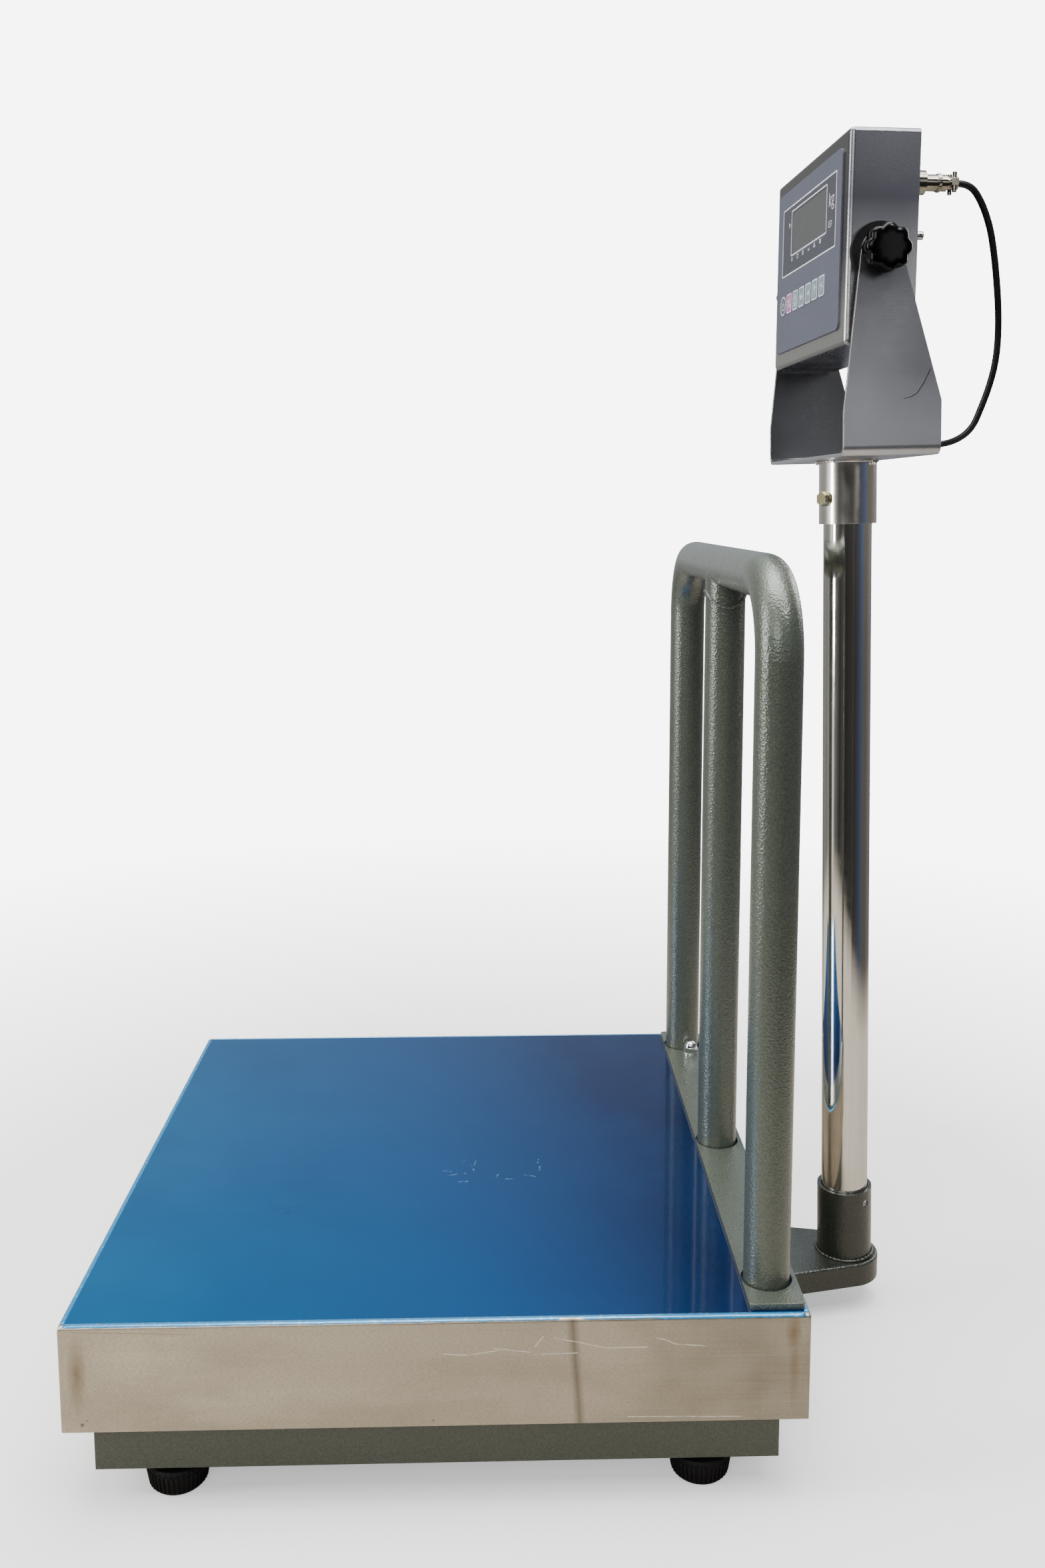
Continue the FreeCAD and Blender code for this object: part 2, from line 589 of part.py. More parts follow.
def column():
    """The arm behind the frame, the socket welded on it and the column clamped in the socket."""
    front = d.platform_y + d.frame_side / 2
    arm = body("Arm")
    slab = feature(arm, "Pad", outline(sketch(arm, "XY"), arm_outline(0, front)), "arm_height")
    fillet(arm, slab, 2, lies_at(2, d.arm_height))
    feature(arm, "Pocket", outline(sketch(arm, "XY"), arm_outline(d.arm_wall, front - 1)),
            "arm_height - arm_wall", True)
    feature(arm, "Pocket", circle(sketch(arm, "XY", 0, "column_y", "arm_height"), 12), 5)
    part("column_arm", arm, Placement(Vector(0, 0, d.frame_bottom), Rotation()))

    grub_frame = Placement(Vector(0, 0, d.grub_height), Rotation(Vector(0, 0, 1), d.grub_angle))
    screw_hole = doc.addObject("Part::Compound", "GrubHole")
    screw_hole.Links = [rod("grub_radius + 0.05", 10, 15, 0, 0, "X")]
    screw_hole.Placement = COLUMN * grub_frame
    blank = doc.addObject("Part::Compound", "SocketBlank")
    blank.Links = [cut(rod("socket_radius", "socket_length + 2", 0, 0, -2),
                       rod("socket_bore", "socket_length + 4", 0, 0, -3))]
    blank.Placement = COLUMN
    under = block(80, 80, 20, 0, "column_y", f"{ARM_TOP} - 20")
    part("column_socket", cut(blank, screw_hole, under))
    grub = cut(rod("grub_radius", "socket_radius - column_radius - 0.9", "column_radius", 0, 0, "X"),
               hexagon(3, 2, "socket_radius - 0.9", 0, 0, "-X"))
    part("socket_grub_screw", grub, COLUMN * grub_frame)
    tube = cut(rod("column_radius", "column_length", 0, 0, 0.5),
               rod("column_radius - column_wall", "column_length + 2", 0, 0, -0.5))
    part("column_tube", tube, COLUMN)


def head():
    """What swivels on the column: sleeve, clamp screw, bracket and grommet."""
    turned = Placement(Vector(0, 0, d.head_height - d.clamp_drop),
                       Rotation(Vector(0, 0, 1), d.clamp_angle))
    hole = doc.addObject("Part::Compound", "ClampHole")
    hole.Links = [rod("grub_radius + 0.05", 20, 10, 0, 0, "X")]
    hole.Placement = turned
    bottom = "head_height - sleeve_length"
    sleeve = cut(rod("sleeve_radius", "sleeve_length", 0, 0, bottom),
                 rod("sleeve_bore", "sleeve_length + 2", 0, 0, f"{bottom} - 1"), hole)
    part("head_sleeve", sleeve, HEAD)
    screw = join(rod("grub_radius", "sleeve_radius + 4 - sleeve_bore", "sleeve_bore", 0, 0, "X"),
                 rod("clamp_flats / 2 + 1", 1, "sleeve_radius", 0, 0, "X"),
                 hexagon("clamp_flats", 4, "sleeve_radius + 1", 0, 0, "X"))
    part("head_clamp_screw", screw, HEAD * turned)

    part("bracket", bracket(), HEAD)
    base_top = "head_height + bracket_sheet"
    ring = join(rod("grommet_radius + 2", 2.5, 0, 0, base_top),
                rod("grommet_radius - 0.05", "bracket_sheet", 0, 0, "head_height"))
    part("cable_grommet", cut(ring, rod("cable_radius + 0.3", 9, 0, 0, "head_height - 2")), HEAD)


def bracket():
    """A folded channel whose two ears taper up to the tilting axis."""
    width = "bracket_width"
    rise = "pivot_rise + ear_radius"
    fold = body("BracketFold")
    outer = feature(fold, "Pad", rectangle(sketch(fold, "XZ", 0, f"({rise}) / 2"), width, rise),
                    "bracket_depth")
    outer.Midplane = True
    doc.recompute()
    fillet(fold, outer, "bracket_bend", lambda e: lies_at(2, 0)(e) and runs_along(1)(e))
    hollow = body("BracketHollow")
    inner = feature(hollow, "Pad",
                    rectangle(sketch(hollow, "XZ", 0, f"({rise}) / 2 + bracket_sheet"),
                              f"{width} - 2 * bracket_sheet", rise), "bracket_depth + 2")
    inner.Midplane = True
    doc.recompute()
    fillet(hollow, inner, "bracket_bend - bracket_sheet",
           lambda e: lies_at(2, d.bracket_sheet)(e) and runs_along(1)(e))

    half = d.bracket_depth / 2
    centre = Vector(d.pivot_y, d.pivot_rise, 0)
    rear = Vector(half, d.ear_rear, 0)
    front = Vector(-half, d.ear_front, 0)
    rear_touch = tangent_point(rear, centre, d.ear_radius, -1)
    front_touch = tangent_point(front, centre, d.ear_radius, 1)
    crown = centre + Vector(0, d.ear_radius, 0)
    ear = body("BracketEar")
    shape = [Part.LineSegment(Vector(-half, 0, 0), Vector(half, 0, 0)),
             Part.LineSegment(Vector(half, 0, 0), rear),
             Part.LineSegment(rear, rear_touch),
             Part.Arc(rear_touch, crown, front_touch),
             Part.LineSegment(front_touch, front),
             Part.LineSegment(front, Vector(-half, 0, 0))]
    prism = feature(ear, "Pad", outline(sketch(ear, "YZ"), shape), "bracket_width + 2")
    prism.Midplane = True
    doc.recompute()
    folded = cut(overlap(fold, ear), hollow,
                 rod("stud_bore", "bracket_width + 4", "-bracket_width / 2 - 2",
                     "pivot_y", "pivot_rise", "X"),
                 rod("grommet_radius", 6, 0, 0, -1))
    raised = doc.addObject("Part::Compound", "BracketRaised")
    raised.Links = [folded]
    raised.Placement = Placement(Vector(0, 0, d.head_height), Rotation())
    return raised


# ---------------------------------------------------------------- indicator


def front_plate(owner, width, height, thickness, x, z, back, corner=None):
    """A plate in a body, facing -Y, with its back face at back millimetres in front of the axis."""
    plate = feature(owner, "Pad", rectangle(sketch(owner, "XZ", x, z, back), width, height), thickness)
    if corner:
        fillet(owner, plate, corner, runs_along(1))


def key_centres():
    """The six square keys in their row."""
    return [f"key_x + {i} * key_pitch" for i in range(6)]


def case():
    """The folded case, open behind, with lugs for its cover, and what the cover holds."""
    rear = "case_front - case_depth"
    middle_z = "case_height / 2 - case_drop"
    shell = body("Case")
    solid = feature(shell, "Pad", rectangle(sketch(shell, "XZ", 0, middle_z, rear), "case_width",
                                            "case_height"), "case_depth")
    rounded = fillet(shell, solid, "case_round", runs_along(1))
    fillet(shell, rounded, "case_round", lies_at(1, -d.case_front))
    feature(shell, "Pocket",
            rectangle(sketch(shell, "XZ", 0, middle_z, rear), "case_width - 2 * case_sheet",
                      "case_height - 2 * case_sheet"), "case_depth - case_sheet", True)
    feature(shell, "Pocket",
            rectangle(sketch(shell, "XZ", "window_x", "window_z", "case_front"),
                      "window_width - 2 * window_lip", "window_height - 2 * window_lip"), 3)
    for x in key_centres() + ["power_x"]:
        feature(shell, "Pocket", circle(sketch(shell, "XZ", x, "key_z", "case_front"),
                                        "plunger_radius + 0.5"), 3)
    for offset, back in (("case_width / 2", False), ("-case_width / 2", True)):
        feature(shell, "Pocket", circle(sketch(shell, "YZ", 0, 0, offset), "stud_bore + 0.9"), 3, back)
    lugs = [block(12, 7, 12, f"{sign}(case_width / 2 - case_sheet - 6)", CASE_REAR - 5.05, f"({z}) - 6")
            for sign, z in cover_screws()]
    lug_holes = [rod(1.55, 8, f"{sign}88", CASE_REAR - 1.3, z, "-Y") for sign, z in cover_screws()]
    part("indicator_case", cut(join(shell, *lugs), *lug_holes), INDICATOR)

    cover = body("Cover")
    feature(cover, "Pad",
            rectangle(sketch(cover, "XZ", 0, middle_z, rear), "case_width - 2 * case_sheet - 0.4",
                      "case_height - 2 * case_sheet - 0.4"), "case_sheet")
    feature(cover, "Pocket", circle(sketch(cover, "XZ", "plug_x", "plug_z", rear), 6.1), 3, True)
    feature(cover, "Pocket", circle(sketch(cover, "XZ", "seal_x", "seal_z", rear), 2.1), 3, True)
    for sign, z in cover_screws():
        feature(cover, "Pocket", circle(sketch(cover, "XZ", f"{sign}88", z, rear), 1.7), 3, True)
    part("rear_cover", cover, INDICATOR)
    screws = [join(rod(3, 1.8, f"{sign}88", CASE_REAR, z, "Y"),
                   rod(1.5, 8, f"{sign}88", CASE_REAR + 0.5, z, "-Y")) for sign, z in cover_screws()]
    part("rear_cover_screws", screws, INDICATOR)
    seal = cut(join(rod(2, 18, "seal_x", CASE_REAR + 10.5, "seal_z", "-Y"),
                    rod(3.2, 6.5, "seal_x", CASE_REAR + 10, "seal_z", "Y")),
               rod(0.9, 10, "seal_x - 5", CASE_REAR + 14, "seal_z", "X"))
    part("seal_screw", seal, INDICATOR)


def cover_screws():
    """The side and height of each of the rear cover's six screws."""
    heights = ("-lug_drop", "(lug_rise - lug_drop) / 2", "lug_rise")
    return [(sign, z) for sign in ("-", "") for z in heights]


def front_panel():
    """The printed panel with its window and seven keys."""
    face = "case_front + panel_thickness"
    panel = body("Panel")
    front_plate(panel, "panel_width", "panel_height", "panel_thickness", "panel_x", "panel_z",
                "case_front", "panel_corner")
    feature(panel, "Pocket", rectangle(sketch(panel, "XZ", "window_x", "window_z", face),
                                       "window_width", "window_height"), 3)
    for x in key_centres():
        feature(panel, "Pocket",
                rectangle(sketch(panel, "XZ", x, "key_z", face), "key_width", "key_height"), 3)
    feature(panel, "Pocket", circle(sketch(panel, "XZ", "power_x", "key_z", face), "power_radius"), 3)
    part("membrane_panel", panel, INDICATOR)

    window = body("Window")
    front_plate(window, "window_width - 0.2", "window_height - 0.2", "panel_thickness - 0.2",
                "window_x", "window_z", "case_front")
    part("display_window", window, INDICATOR)

    cap_back = "case_front + key_air"
    cap_depth = "panel_thickness + key_proud - key_air"
    for i, x in enumerate(key_centres(), start=1):
        cap = body(f"Key{i}")
        front_plate(cap, "key_width - 2 * key_gap", "key_height - 2 * key_gap", cap_depth, x,
                    "key_z", cap_back, 1.2)
        part(f"key_{i}", join(cap, *plunger(x, cap_back)), INDICATOR)
    cap = rod("power_radius - key_gap", cap_depth, "power_x", f"-({cap_back})", "key_z", "-Y")
    part("key_power", join(cap, *plunger("power_x", cap_back)), INDICATOR)


def plunger(x, back):
    """A key's stem through the case's front, and the collar behind it that keeps the key in."""
    stem = rod("plunger_radius", 4.15, x, f"-({back})", "key_z", "Y")
    collar = rod("plunger_radius + 1.5", 0.8, x, "-case_front + case_sheet + 0.05", "key_z", "Y")
    return [stem, collar]


def electronics():
    """Display board with its key switches, main board and battery, each held off the case."""
    board_y = 5.2 - d.case_front
    posts = [(x, z) for x in (-76, 76) for z in (-44, 56)]
    board = join(block(165, 1.6, 112, 0, board_y + 0.8, -50),
                 block("window_width - 8", 2.6, "window_height - 6", "window_x", board_y - 1.3,
                       "window_z - window_height / 2 + 3"),
                 *[rod(3, 1.1, x, board_y, "key_z", "-Y") for x in key_centres() + ["power_x"]],
                 *[rod(3, 3.7, x, "-case_front + case_sheet", z, "Y") for x, z in posts])
    part("display_board", board, INDICATOR)
    main = join(block(156, 1.6, 106, 0, -5, -48), block(46, 14, 34, -45, 2.6, 22),
                block(20, 3, 20, 20, -2.8, 28), rod(7, 15, 58, -4.5, -1, "Y"),
                rod(5, 12, 45, -4.5, 35, "Y"),
                *[rod(2.5, -5.8 - (board_y + 1.6), x, board_y + 1.6, z, "Y") for x, z in posts])
    part("main_board", main, INDICATOR)
    part("battery", block(97, 24, 50, -8, CASE_REAR - d.case_sheet - 12, "case_sheet - case_drop"),
         INDICATOR)


def connector():
    """The socket on the rear cover, the cable's plug in it and the plug's clamp."""
    x = "plug_x"
    z = "plug_z"
    socket = join(rod(6, 14, x, CASE_REAR - 10, z, "Y"), rod(8.5, 8.6, x, CASE_REAR, z, "Y"),
                  rod(4.5, 17.5, x, CASE_REAR, z, "Y"))
    part("connector_socket", socket, INDICATOR)
    plug_front = CASE_REAR + 8.65
    plug = cut(join(rod(5.8, 16.4, x, plug_front, z, "Y"), rod(6.3, 2.4, x, plug_front + 9, z, "Y")),
               rod(4.6, 9.5, x, plug_front - 0.5, z, "Y"))
    part("plug_body", plug, INDICATOR)
    clamp_front = plug_front + 16.4
    screw_y = clamp_front + 4.6
    clamp = join(rod(4.6, f"plug_end - {clamp_front}", x, clamp_front, z, "Y"),
                 block(13.4, 5, 5, x, screw_y, f"{z} - 2.5"),
                 rod(1.6, 14, f"{x} - 4.6", screw_y, f"{z} - 7"),
                 rod(1.6, 14, f"{x} + 4.6", screw_y, f"{z} - 7"))
    part("plug_clamp", clamp, INDICATOR)


def tilt_axle():
    """Threaded inserts, rubber washers and star knobs on the tilting axis."""
    inserts = []
    washers = []
    wall = "case_width / 2 - case_sheet"
    for sign, along in (("-", "-X"), ("", "X")):
        inserts.append(cut(rod(8, 10, f"{sign}({wall} - 10)", 0, 0, along),
                           rod("stud_bore", 14, f"{sign}({wall} - 12)", 0, 0, along)))
        washers.append(cut(rod("washer_radius", "washer_thickness", f"{sign}case_width / 2", 0, 0, along),
                           rod("stud_bore + 0.4", 10, f"{sign}(case_width / 2 - 2)", 0, 0, along)))
    part("pivot_inserts", inserts, INDICATOR)
    part("rubber_washers", washers, INDICATOR)
    for name, turn in (("right", 0), ("left", 180)):
        part(f"knob_{name}", knob(name), INDICATOR * Placement(Vector(), Rotation(Vector(0, 0, 1), turn)))


def knob(name):
    """A star knob on the +X side: stud, boss and a lobed head."""
    ear = "bracket_width / 2 + 0.1"
    star = body(f"Knob_{name}")
    boss = feature(star, "Pad", circle(sketch(star, "YZ", 0, 0, ear), "knob_boss"), 6)
    disc = feature(star, "Pad", circle(sketch(star, "YZ", 0, 0, f"{ear} + 5"), "knob_radius"),
                   "knob_length")
    face = d.bracket_width / 2 + 0.1 + 5 + d.knob_length
    domed = fillet(star, disc, 3.5, lies_at(0, face))
    flute = feature(star, "Pocket",
                    circle(sketch(star, "YZ", "knob_radius + 1.4", 0, f"{ear} + 6 + knob_length"), 4.9),
                    "knob_length + 1.5")
    lobes = star.newObject("PartDesign::PolarPattern", "PolarPattern")
    lobes.Originals = [flute]
    lobes.Axis = (boss.Profile[0], ["N_Axis"])
    lobes.Angle = 360
    bind(lobes, Occurrences="knob_lobes")
    star.Tip = lobes
    doc.recompute()
    if lobes.Shape.Volume >= domed.Shape.Volume:
        raise RuntimeError("the knob's flutes remove nothing")
    return join(star, rod("stud_bore - 0.1", "30", f"{ear} - 24", 0, 0, "X"))


# ---------------------------------------------------------------- cables

# Out of the plug, down in a free loop behind the indicator, forward over the bracket's rear edge and
# down through the grommet into the column.
SIGNAL_ROUTE = [
    (76.85, 319.0, 901.35), (76.35, 328.0, 901.3), (75.3, 337.0, 890.9), (73.4, 345.2, 873.0),
    (71.1, 350.0, 854.0), (68.2, 353.7, 835.5), (64.2, 357.2, 816.8), (59.2, 359.9, 798.0),
    (53.2, 361.2, 779.2), (46.5, 359.6, 761.5), (39.5, 356.0, 744.5), (33.0, 351.5, 728.5),
    (24.0, 340.5, 719.5), (16.0, 325.0, 717.5), (11.5, 311.0, 722.0), (8.0, 299.5, 731.5),
    (5.0, 288.8, 739.4), (3.0, 278.6, 740.6), (1.0, 269.7, 735.6), (0.0, 264.3, 727.0),
    (0.0, 264.55, 716.2), (0.0, 264.94, 704.9),
]

# Down inside the column, forward inside the arm, through the back rail and up to the load cell.
COLUMN_ROUTE = [
    (0.0, 264.95, 704.6), (0.0, 279.42, 66.0), (0.6, 278.2, 45.0), (5.0, 268.0, 32.5),
    (15.0, 245.0, 30.5), (28.5, 219.0, 31.5), (37.5, 193.0, 31.8), (38.2, 160.0, 31.5),
    (38.2, 122.0, 33.0), (38.8, 84.0, 48.0), (37.0, 60.0, 68.0), (25.0, 44.0, 76.5),
    (12.0, 36.0, 77.0), (12.0, 17.1, 77.0),
]


def cables():
    part("signal_cable", cable(SIGNAL_ROUTE, d.cable_radius))
    part("column_cable", cable(COLUMN_ROUTE, d.cable_radius))


# ---------------------------------------------------------------- build, check, export

for build in (base_frame, feet, load_cell, upper_frame, pan, guard, column, head, case, front_panel,
              electronics, connector, tilt_axle, cables):
    build()
doc.recompute()

for item in doc.Objects:
    if "Invalid" in item.State or "Error" in item.State:
        raise RuntimeError(f"{item.Label} failed: {item.State}")
for label, item in parts.items():
    if item.Shape.isNull() or not item.Shape.isValid() or not item.Shape.Solids:
        raise RuntimeError(f"{label} has no valid solid")
for label, item in parts.items():
    item.Shape.exportStep(f"parts/{label}.step")
print(len(parts), "sub-parts")
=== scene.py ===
import json
import math
import random

import bpy
from mathutils import Matrix, Vector, noise


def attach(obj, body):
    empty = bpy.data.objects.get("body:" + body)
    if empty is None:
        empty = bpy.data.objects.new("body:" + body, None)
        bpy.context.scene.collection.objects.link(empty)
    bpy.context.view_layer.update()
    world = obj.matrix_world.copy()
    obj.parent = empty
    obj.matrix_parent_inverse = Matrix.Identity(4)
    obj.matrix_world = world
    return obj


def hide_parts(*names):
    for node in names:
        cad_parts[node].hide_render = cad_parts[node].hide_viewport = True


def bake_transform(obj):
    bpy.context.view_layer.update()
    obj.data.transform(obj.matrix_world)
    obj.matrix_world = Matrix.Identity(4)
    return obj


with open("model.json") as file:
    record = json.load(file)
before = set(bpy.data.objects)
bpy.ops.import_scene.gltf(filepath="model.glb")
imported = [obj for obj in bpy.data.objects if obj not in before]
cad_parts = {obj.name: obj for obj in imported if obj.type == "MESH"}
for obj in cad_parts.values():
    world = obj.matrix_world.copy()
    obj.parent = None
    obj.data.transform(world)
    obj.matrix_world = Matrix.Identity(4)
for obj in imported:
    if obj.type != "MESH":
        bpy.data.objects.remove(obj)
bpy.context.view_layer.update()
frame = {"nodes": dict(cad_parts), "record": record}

# Points and sizes are in millimetres, and the coordinates that materials read are in metres.
MM = 0.001
PLATFORM_Y = -58.0
PAN_FACE = 250
FILM_TOP = 136.2
GUARD_Y = 169
BRACKET_HALF_WIDTH = 103.0
PALE = (0.93, 0.93, 0.92)
PALE_LIGHT = 7.0

CAMERA_PLACE = (1104.06, -20.08, 669.84)
CAMERA_YAW, CAMERA_PITCH, CAMERA_ROLL = -0.0257, 0.1288, 0.0023
CAMERA_LENS, CAMERA_SENSOR = 31.714, 36
CAMERA_SHIFT_X, CAMERA_SHIFT_Y = -0.0019, -0.062


def turn(degrees, axis):
    return Matrix.Rotation(math.radians(degrees), 4, axis)


def move(x, y, z):
    return Matrix.Translation(Vector((x, y, z)) * MM)


# the part's own frames: the leaning column, the turned head and the tilted indicator
COLUMN = move(0, 280, 41) @ turn(1.3, "X")
HEAD = COLUMN @ turn(3.2, "Z")
INDICATOR = HEAD @ move(0, -9.3, 809) @ turn(-1.6, "X")


# ---------------------------------------------------------------- camera
def make_camera():
    """At the photograph's viewing angle: level with the head, looking along -X and a little down."""
    yaw, pitch, roll = CAMERA_YAW, CAMERA_PITCH, CAMERA_ROLL
    towards = Vector((-math.cos(yaw), -math.sin(yaw), 0))
    right = Vector((-math.sin(yaw), math.cos(yaw), 0))
    up = Vector((0, 0, 1)) * math.cos(pitch) + towards * math.sin(pitch)
    towards = towards * math.cos(pitch) - Vector((0, 0, 1)) * math.sin(pitch)
    across = right * math.cos(roll) - up * math.sin(roll)
    above = right * math.sin(roll) + up * math.cos(roll)
    data = bpy.data.cameras.new("camera")
    data.lens, data.sensor_width = CAMERA_LENS, CAMERA_SENSOR
    data.shift_x, data.shift_y = CAMERA_SHIFT_X, CAMERA_SHIFT_Y
    data.clip_start, data.clip_end = 0.05, 100
    camera = bpy.data.objects.new("camera", data)
    bpy.context.scene.collection.objects.link(camera)
    place = Matrix.Identity(4)
    for column, axis in enumerate((across, above, -towards)):
        for row in range(3):
            place[row][column] = axis[row]
    place.translation = Vector(CAMERA_PLACE) * MM
    camera.matrix_world = place
    bpy.context.scene.camera = camera


make_camera()


# ---------------------------------------------------------------- meshes
def link(name, data, body=None):
    """A new object, which rides on a body where one is given."""
    piece = bpy.data.objects.new(name, data)
    bpy.context.scene.collection.objects.link(piece)
    if body:
        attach(piece, body)
    return piece


def mesh(name, points, faces, smooth=True):
    data = bpy.data.meshes.new(name)
    data.from_pydata([tuple(p) for p in points], [], faces)
    data.update()
    for polygon in data.polygons:
        polygon.use_smooth = smooth
    return data


class Shape:
    """Points and faces of several closed forms in millimetres, gathered into one mesh."""

    def __init__(self):
        self.points, self.faces = [], []

    def add(self, points, faces):
        start = len(self.points)
        self.points += [Vector(p) for p in points]
        self.faces += [tuple(start + i for i in face) for face in faces]

    def piece(self, name, body, slot, material, place=Matrix(), smooth=True):
        data = mesh(name, [place @ (p * MM) for p in self.points], self.faces, smooth)
        data.materials.append(material)
        return link(name, data, body)


def circle(count):
    """The cosine and sine of angles spaced evenly round a circle."""
    angles = [2 * math.pi * k / count for k in range(count)]
    return [(math.cos(angle), math.sin(angle)) for angle in angles]


def loft(rows):
    """A closed form through rows of points, as many in each row, with flat ends."""
    size, last = len(rows[0]), len(rows) - 1
    faces = []
    for i in range(last):
        for j in range(size):
            k = (j + 1) % size
            faces.append((i * size + j, i * size + k, (i + 1) * size + k, (i + 1) * size + j))
    faces.append(tuple(range(size))[::-1])
    faces.append(tuple(last * size + j for j in range(size)))
    return [point for row in rows for point in row], faces


def tube(points, radii, sides, closed=False):
    """A tube along points, with one radius a point. Its ends are closed by fans."""
    count = len(points)
    rings, faces = [], []
    side = Vector((0.31, 0.17, 0.93))
    for i, point in enumerate(points):
        ahead = points[(i + 1) % count] if closed or i < count - 1 else point
        behind = points[i - 1] if closed or i else point
        along = (ahead - behind).normalized()
        side = (side - along * side.dot(along)).normalized()
        other = along.cross(side)
        rings += [point + (side * c + other * s) * radii[i] for c, s in circle(sides)]
    for i in range(count if closed else count - 1):
        for j in range(sides):
            a, b = i * sides, (i + 1) % count * sides
            faces.append((a + j, a + (j + 1) % sides, b + (j + 1) % sides, b + j))
    if not closed:
        rings += [points[0], points[-1]]
        last = (count - 1) * sides
        for j in range(sides):
            faces.append((j, len(rings) - 2, (j + 1) % sides))
            faces.append((last + (j + 1) % sides, len(rings) - 1, last + j))
    return rings, faces


def weld(points, radius, seed, closed=False):
    """A weld bead: a tube of overlapping ripples, a little uneven."""
    draw = random.Random(seed)
    spots, sizes = [], []
    for i, point in enumerate(points):
        ripple = 0.5 + 0.5 * math.cos(2 * math.pi * i / 4)
        shift = Vector([draw.uniform(-1, 1) for _ in range(3)]) * radius * 0.09
        spots.append(Vector(point) + shift)
        sizes.append(radius * (0.82 + 0.26 * ripple + draw.uniform(-0.07, 0.07)))
    return tube(spots, sizes, 10, closed)


def ring_points(radius, step, z):
    """Points a step apart round a circle, with a count that four divides, as a weld's ripples do."""
    count = 4 * round(2 * math.pi * radius / step / 4)
    return [Vector((radius * c, radius * s, z)) for c, s in circle(count)]


# ---------------------------------------------------------------- cord
SIGNAL_ROUTE = (
    (76.85, 319.0, 901.35), (76.35, 328.0, 901.3), (75.3, 337.0, 890.9), (73.4, 345.2, 873.0),
    (71.1, 350.0, 854.0), (68.2, 353.7, 835.5), (64.2, 357.2, 816.8), (59.2, 359.9, 798.0),
    (53.2, 361.2, 779.2), (46.5, 359.6, 761.5), (39.5, 356.0, 744.5), (33.0, 351.5, 728.5),
    (24.0, 340.5, 719.5), (16.0, 325.0, 717.5), (11.5, 311.0, 722.0), (8.0, 299.5, 731.5),
    (5.0, 288.8, 739.4), (3.0, 278.6, 740.6), (1.0, 269.7, 735.6), (0.0, 264.3, 727.0),
    (0.0, 264.55, 716.2), (0.0, 264.94, 704.9))
CORD_DIAMETER = 0.005


def route_line(route):
    """Points along the smooth curve that the route's points control."""
    curve = bpy.data.curves.new("route", "CURVE")
    curve.dimensions = "3D"
    curve.resolution_u = 10
    spline = curve.splines.new("NURBS")
    spline.points.add(len(route) - 1)
    for point, place in zip(spline.points, route):
        point.co = (*(Vector(place) * MM), 1)
    spline.order_u = 3
    spline.use_endpoint_u = True
    owner = link("route", curve)
    bpy.context.view_layer.update()
    evaluated = owner.evaluated_get(bpy.context.evaluated_depsgraph_get())
    line = bpy.data.meshes.new_from_object(evaluated)
    points = [v.co.copy() for v in line.vertices]
    bpy.data.objects.remove(owner)
    bpy.data.curves.remove(curve)
    bpy.data.meshes.remove(line)
    return points


def make_cord():
    """The free signal cable, a tube along the curve that part.py's route points control."""
    path = route_line(SIGNAL_ROUTE)
    points, faces = tube(path, [CORD_DIAMETER / 2] * len(path), 20)
    cable = link("signal_cable_cord", mesh("signal_cable_cord", points, faces))
    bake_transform(cable)
    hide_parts("signal_cable")
    return cable


CABLE = make_cord()


# ---------------------------------------------------------------- materials
def scaled(tone, factor, lift=0.0):
    """A brighter or darker colour, held to one."""
    return tuple(min(1, c * factor + lift) for c in tone)


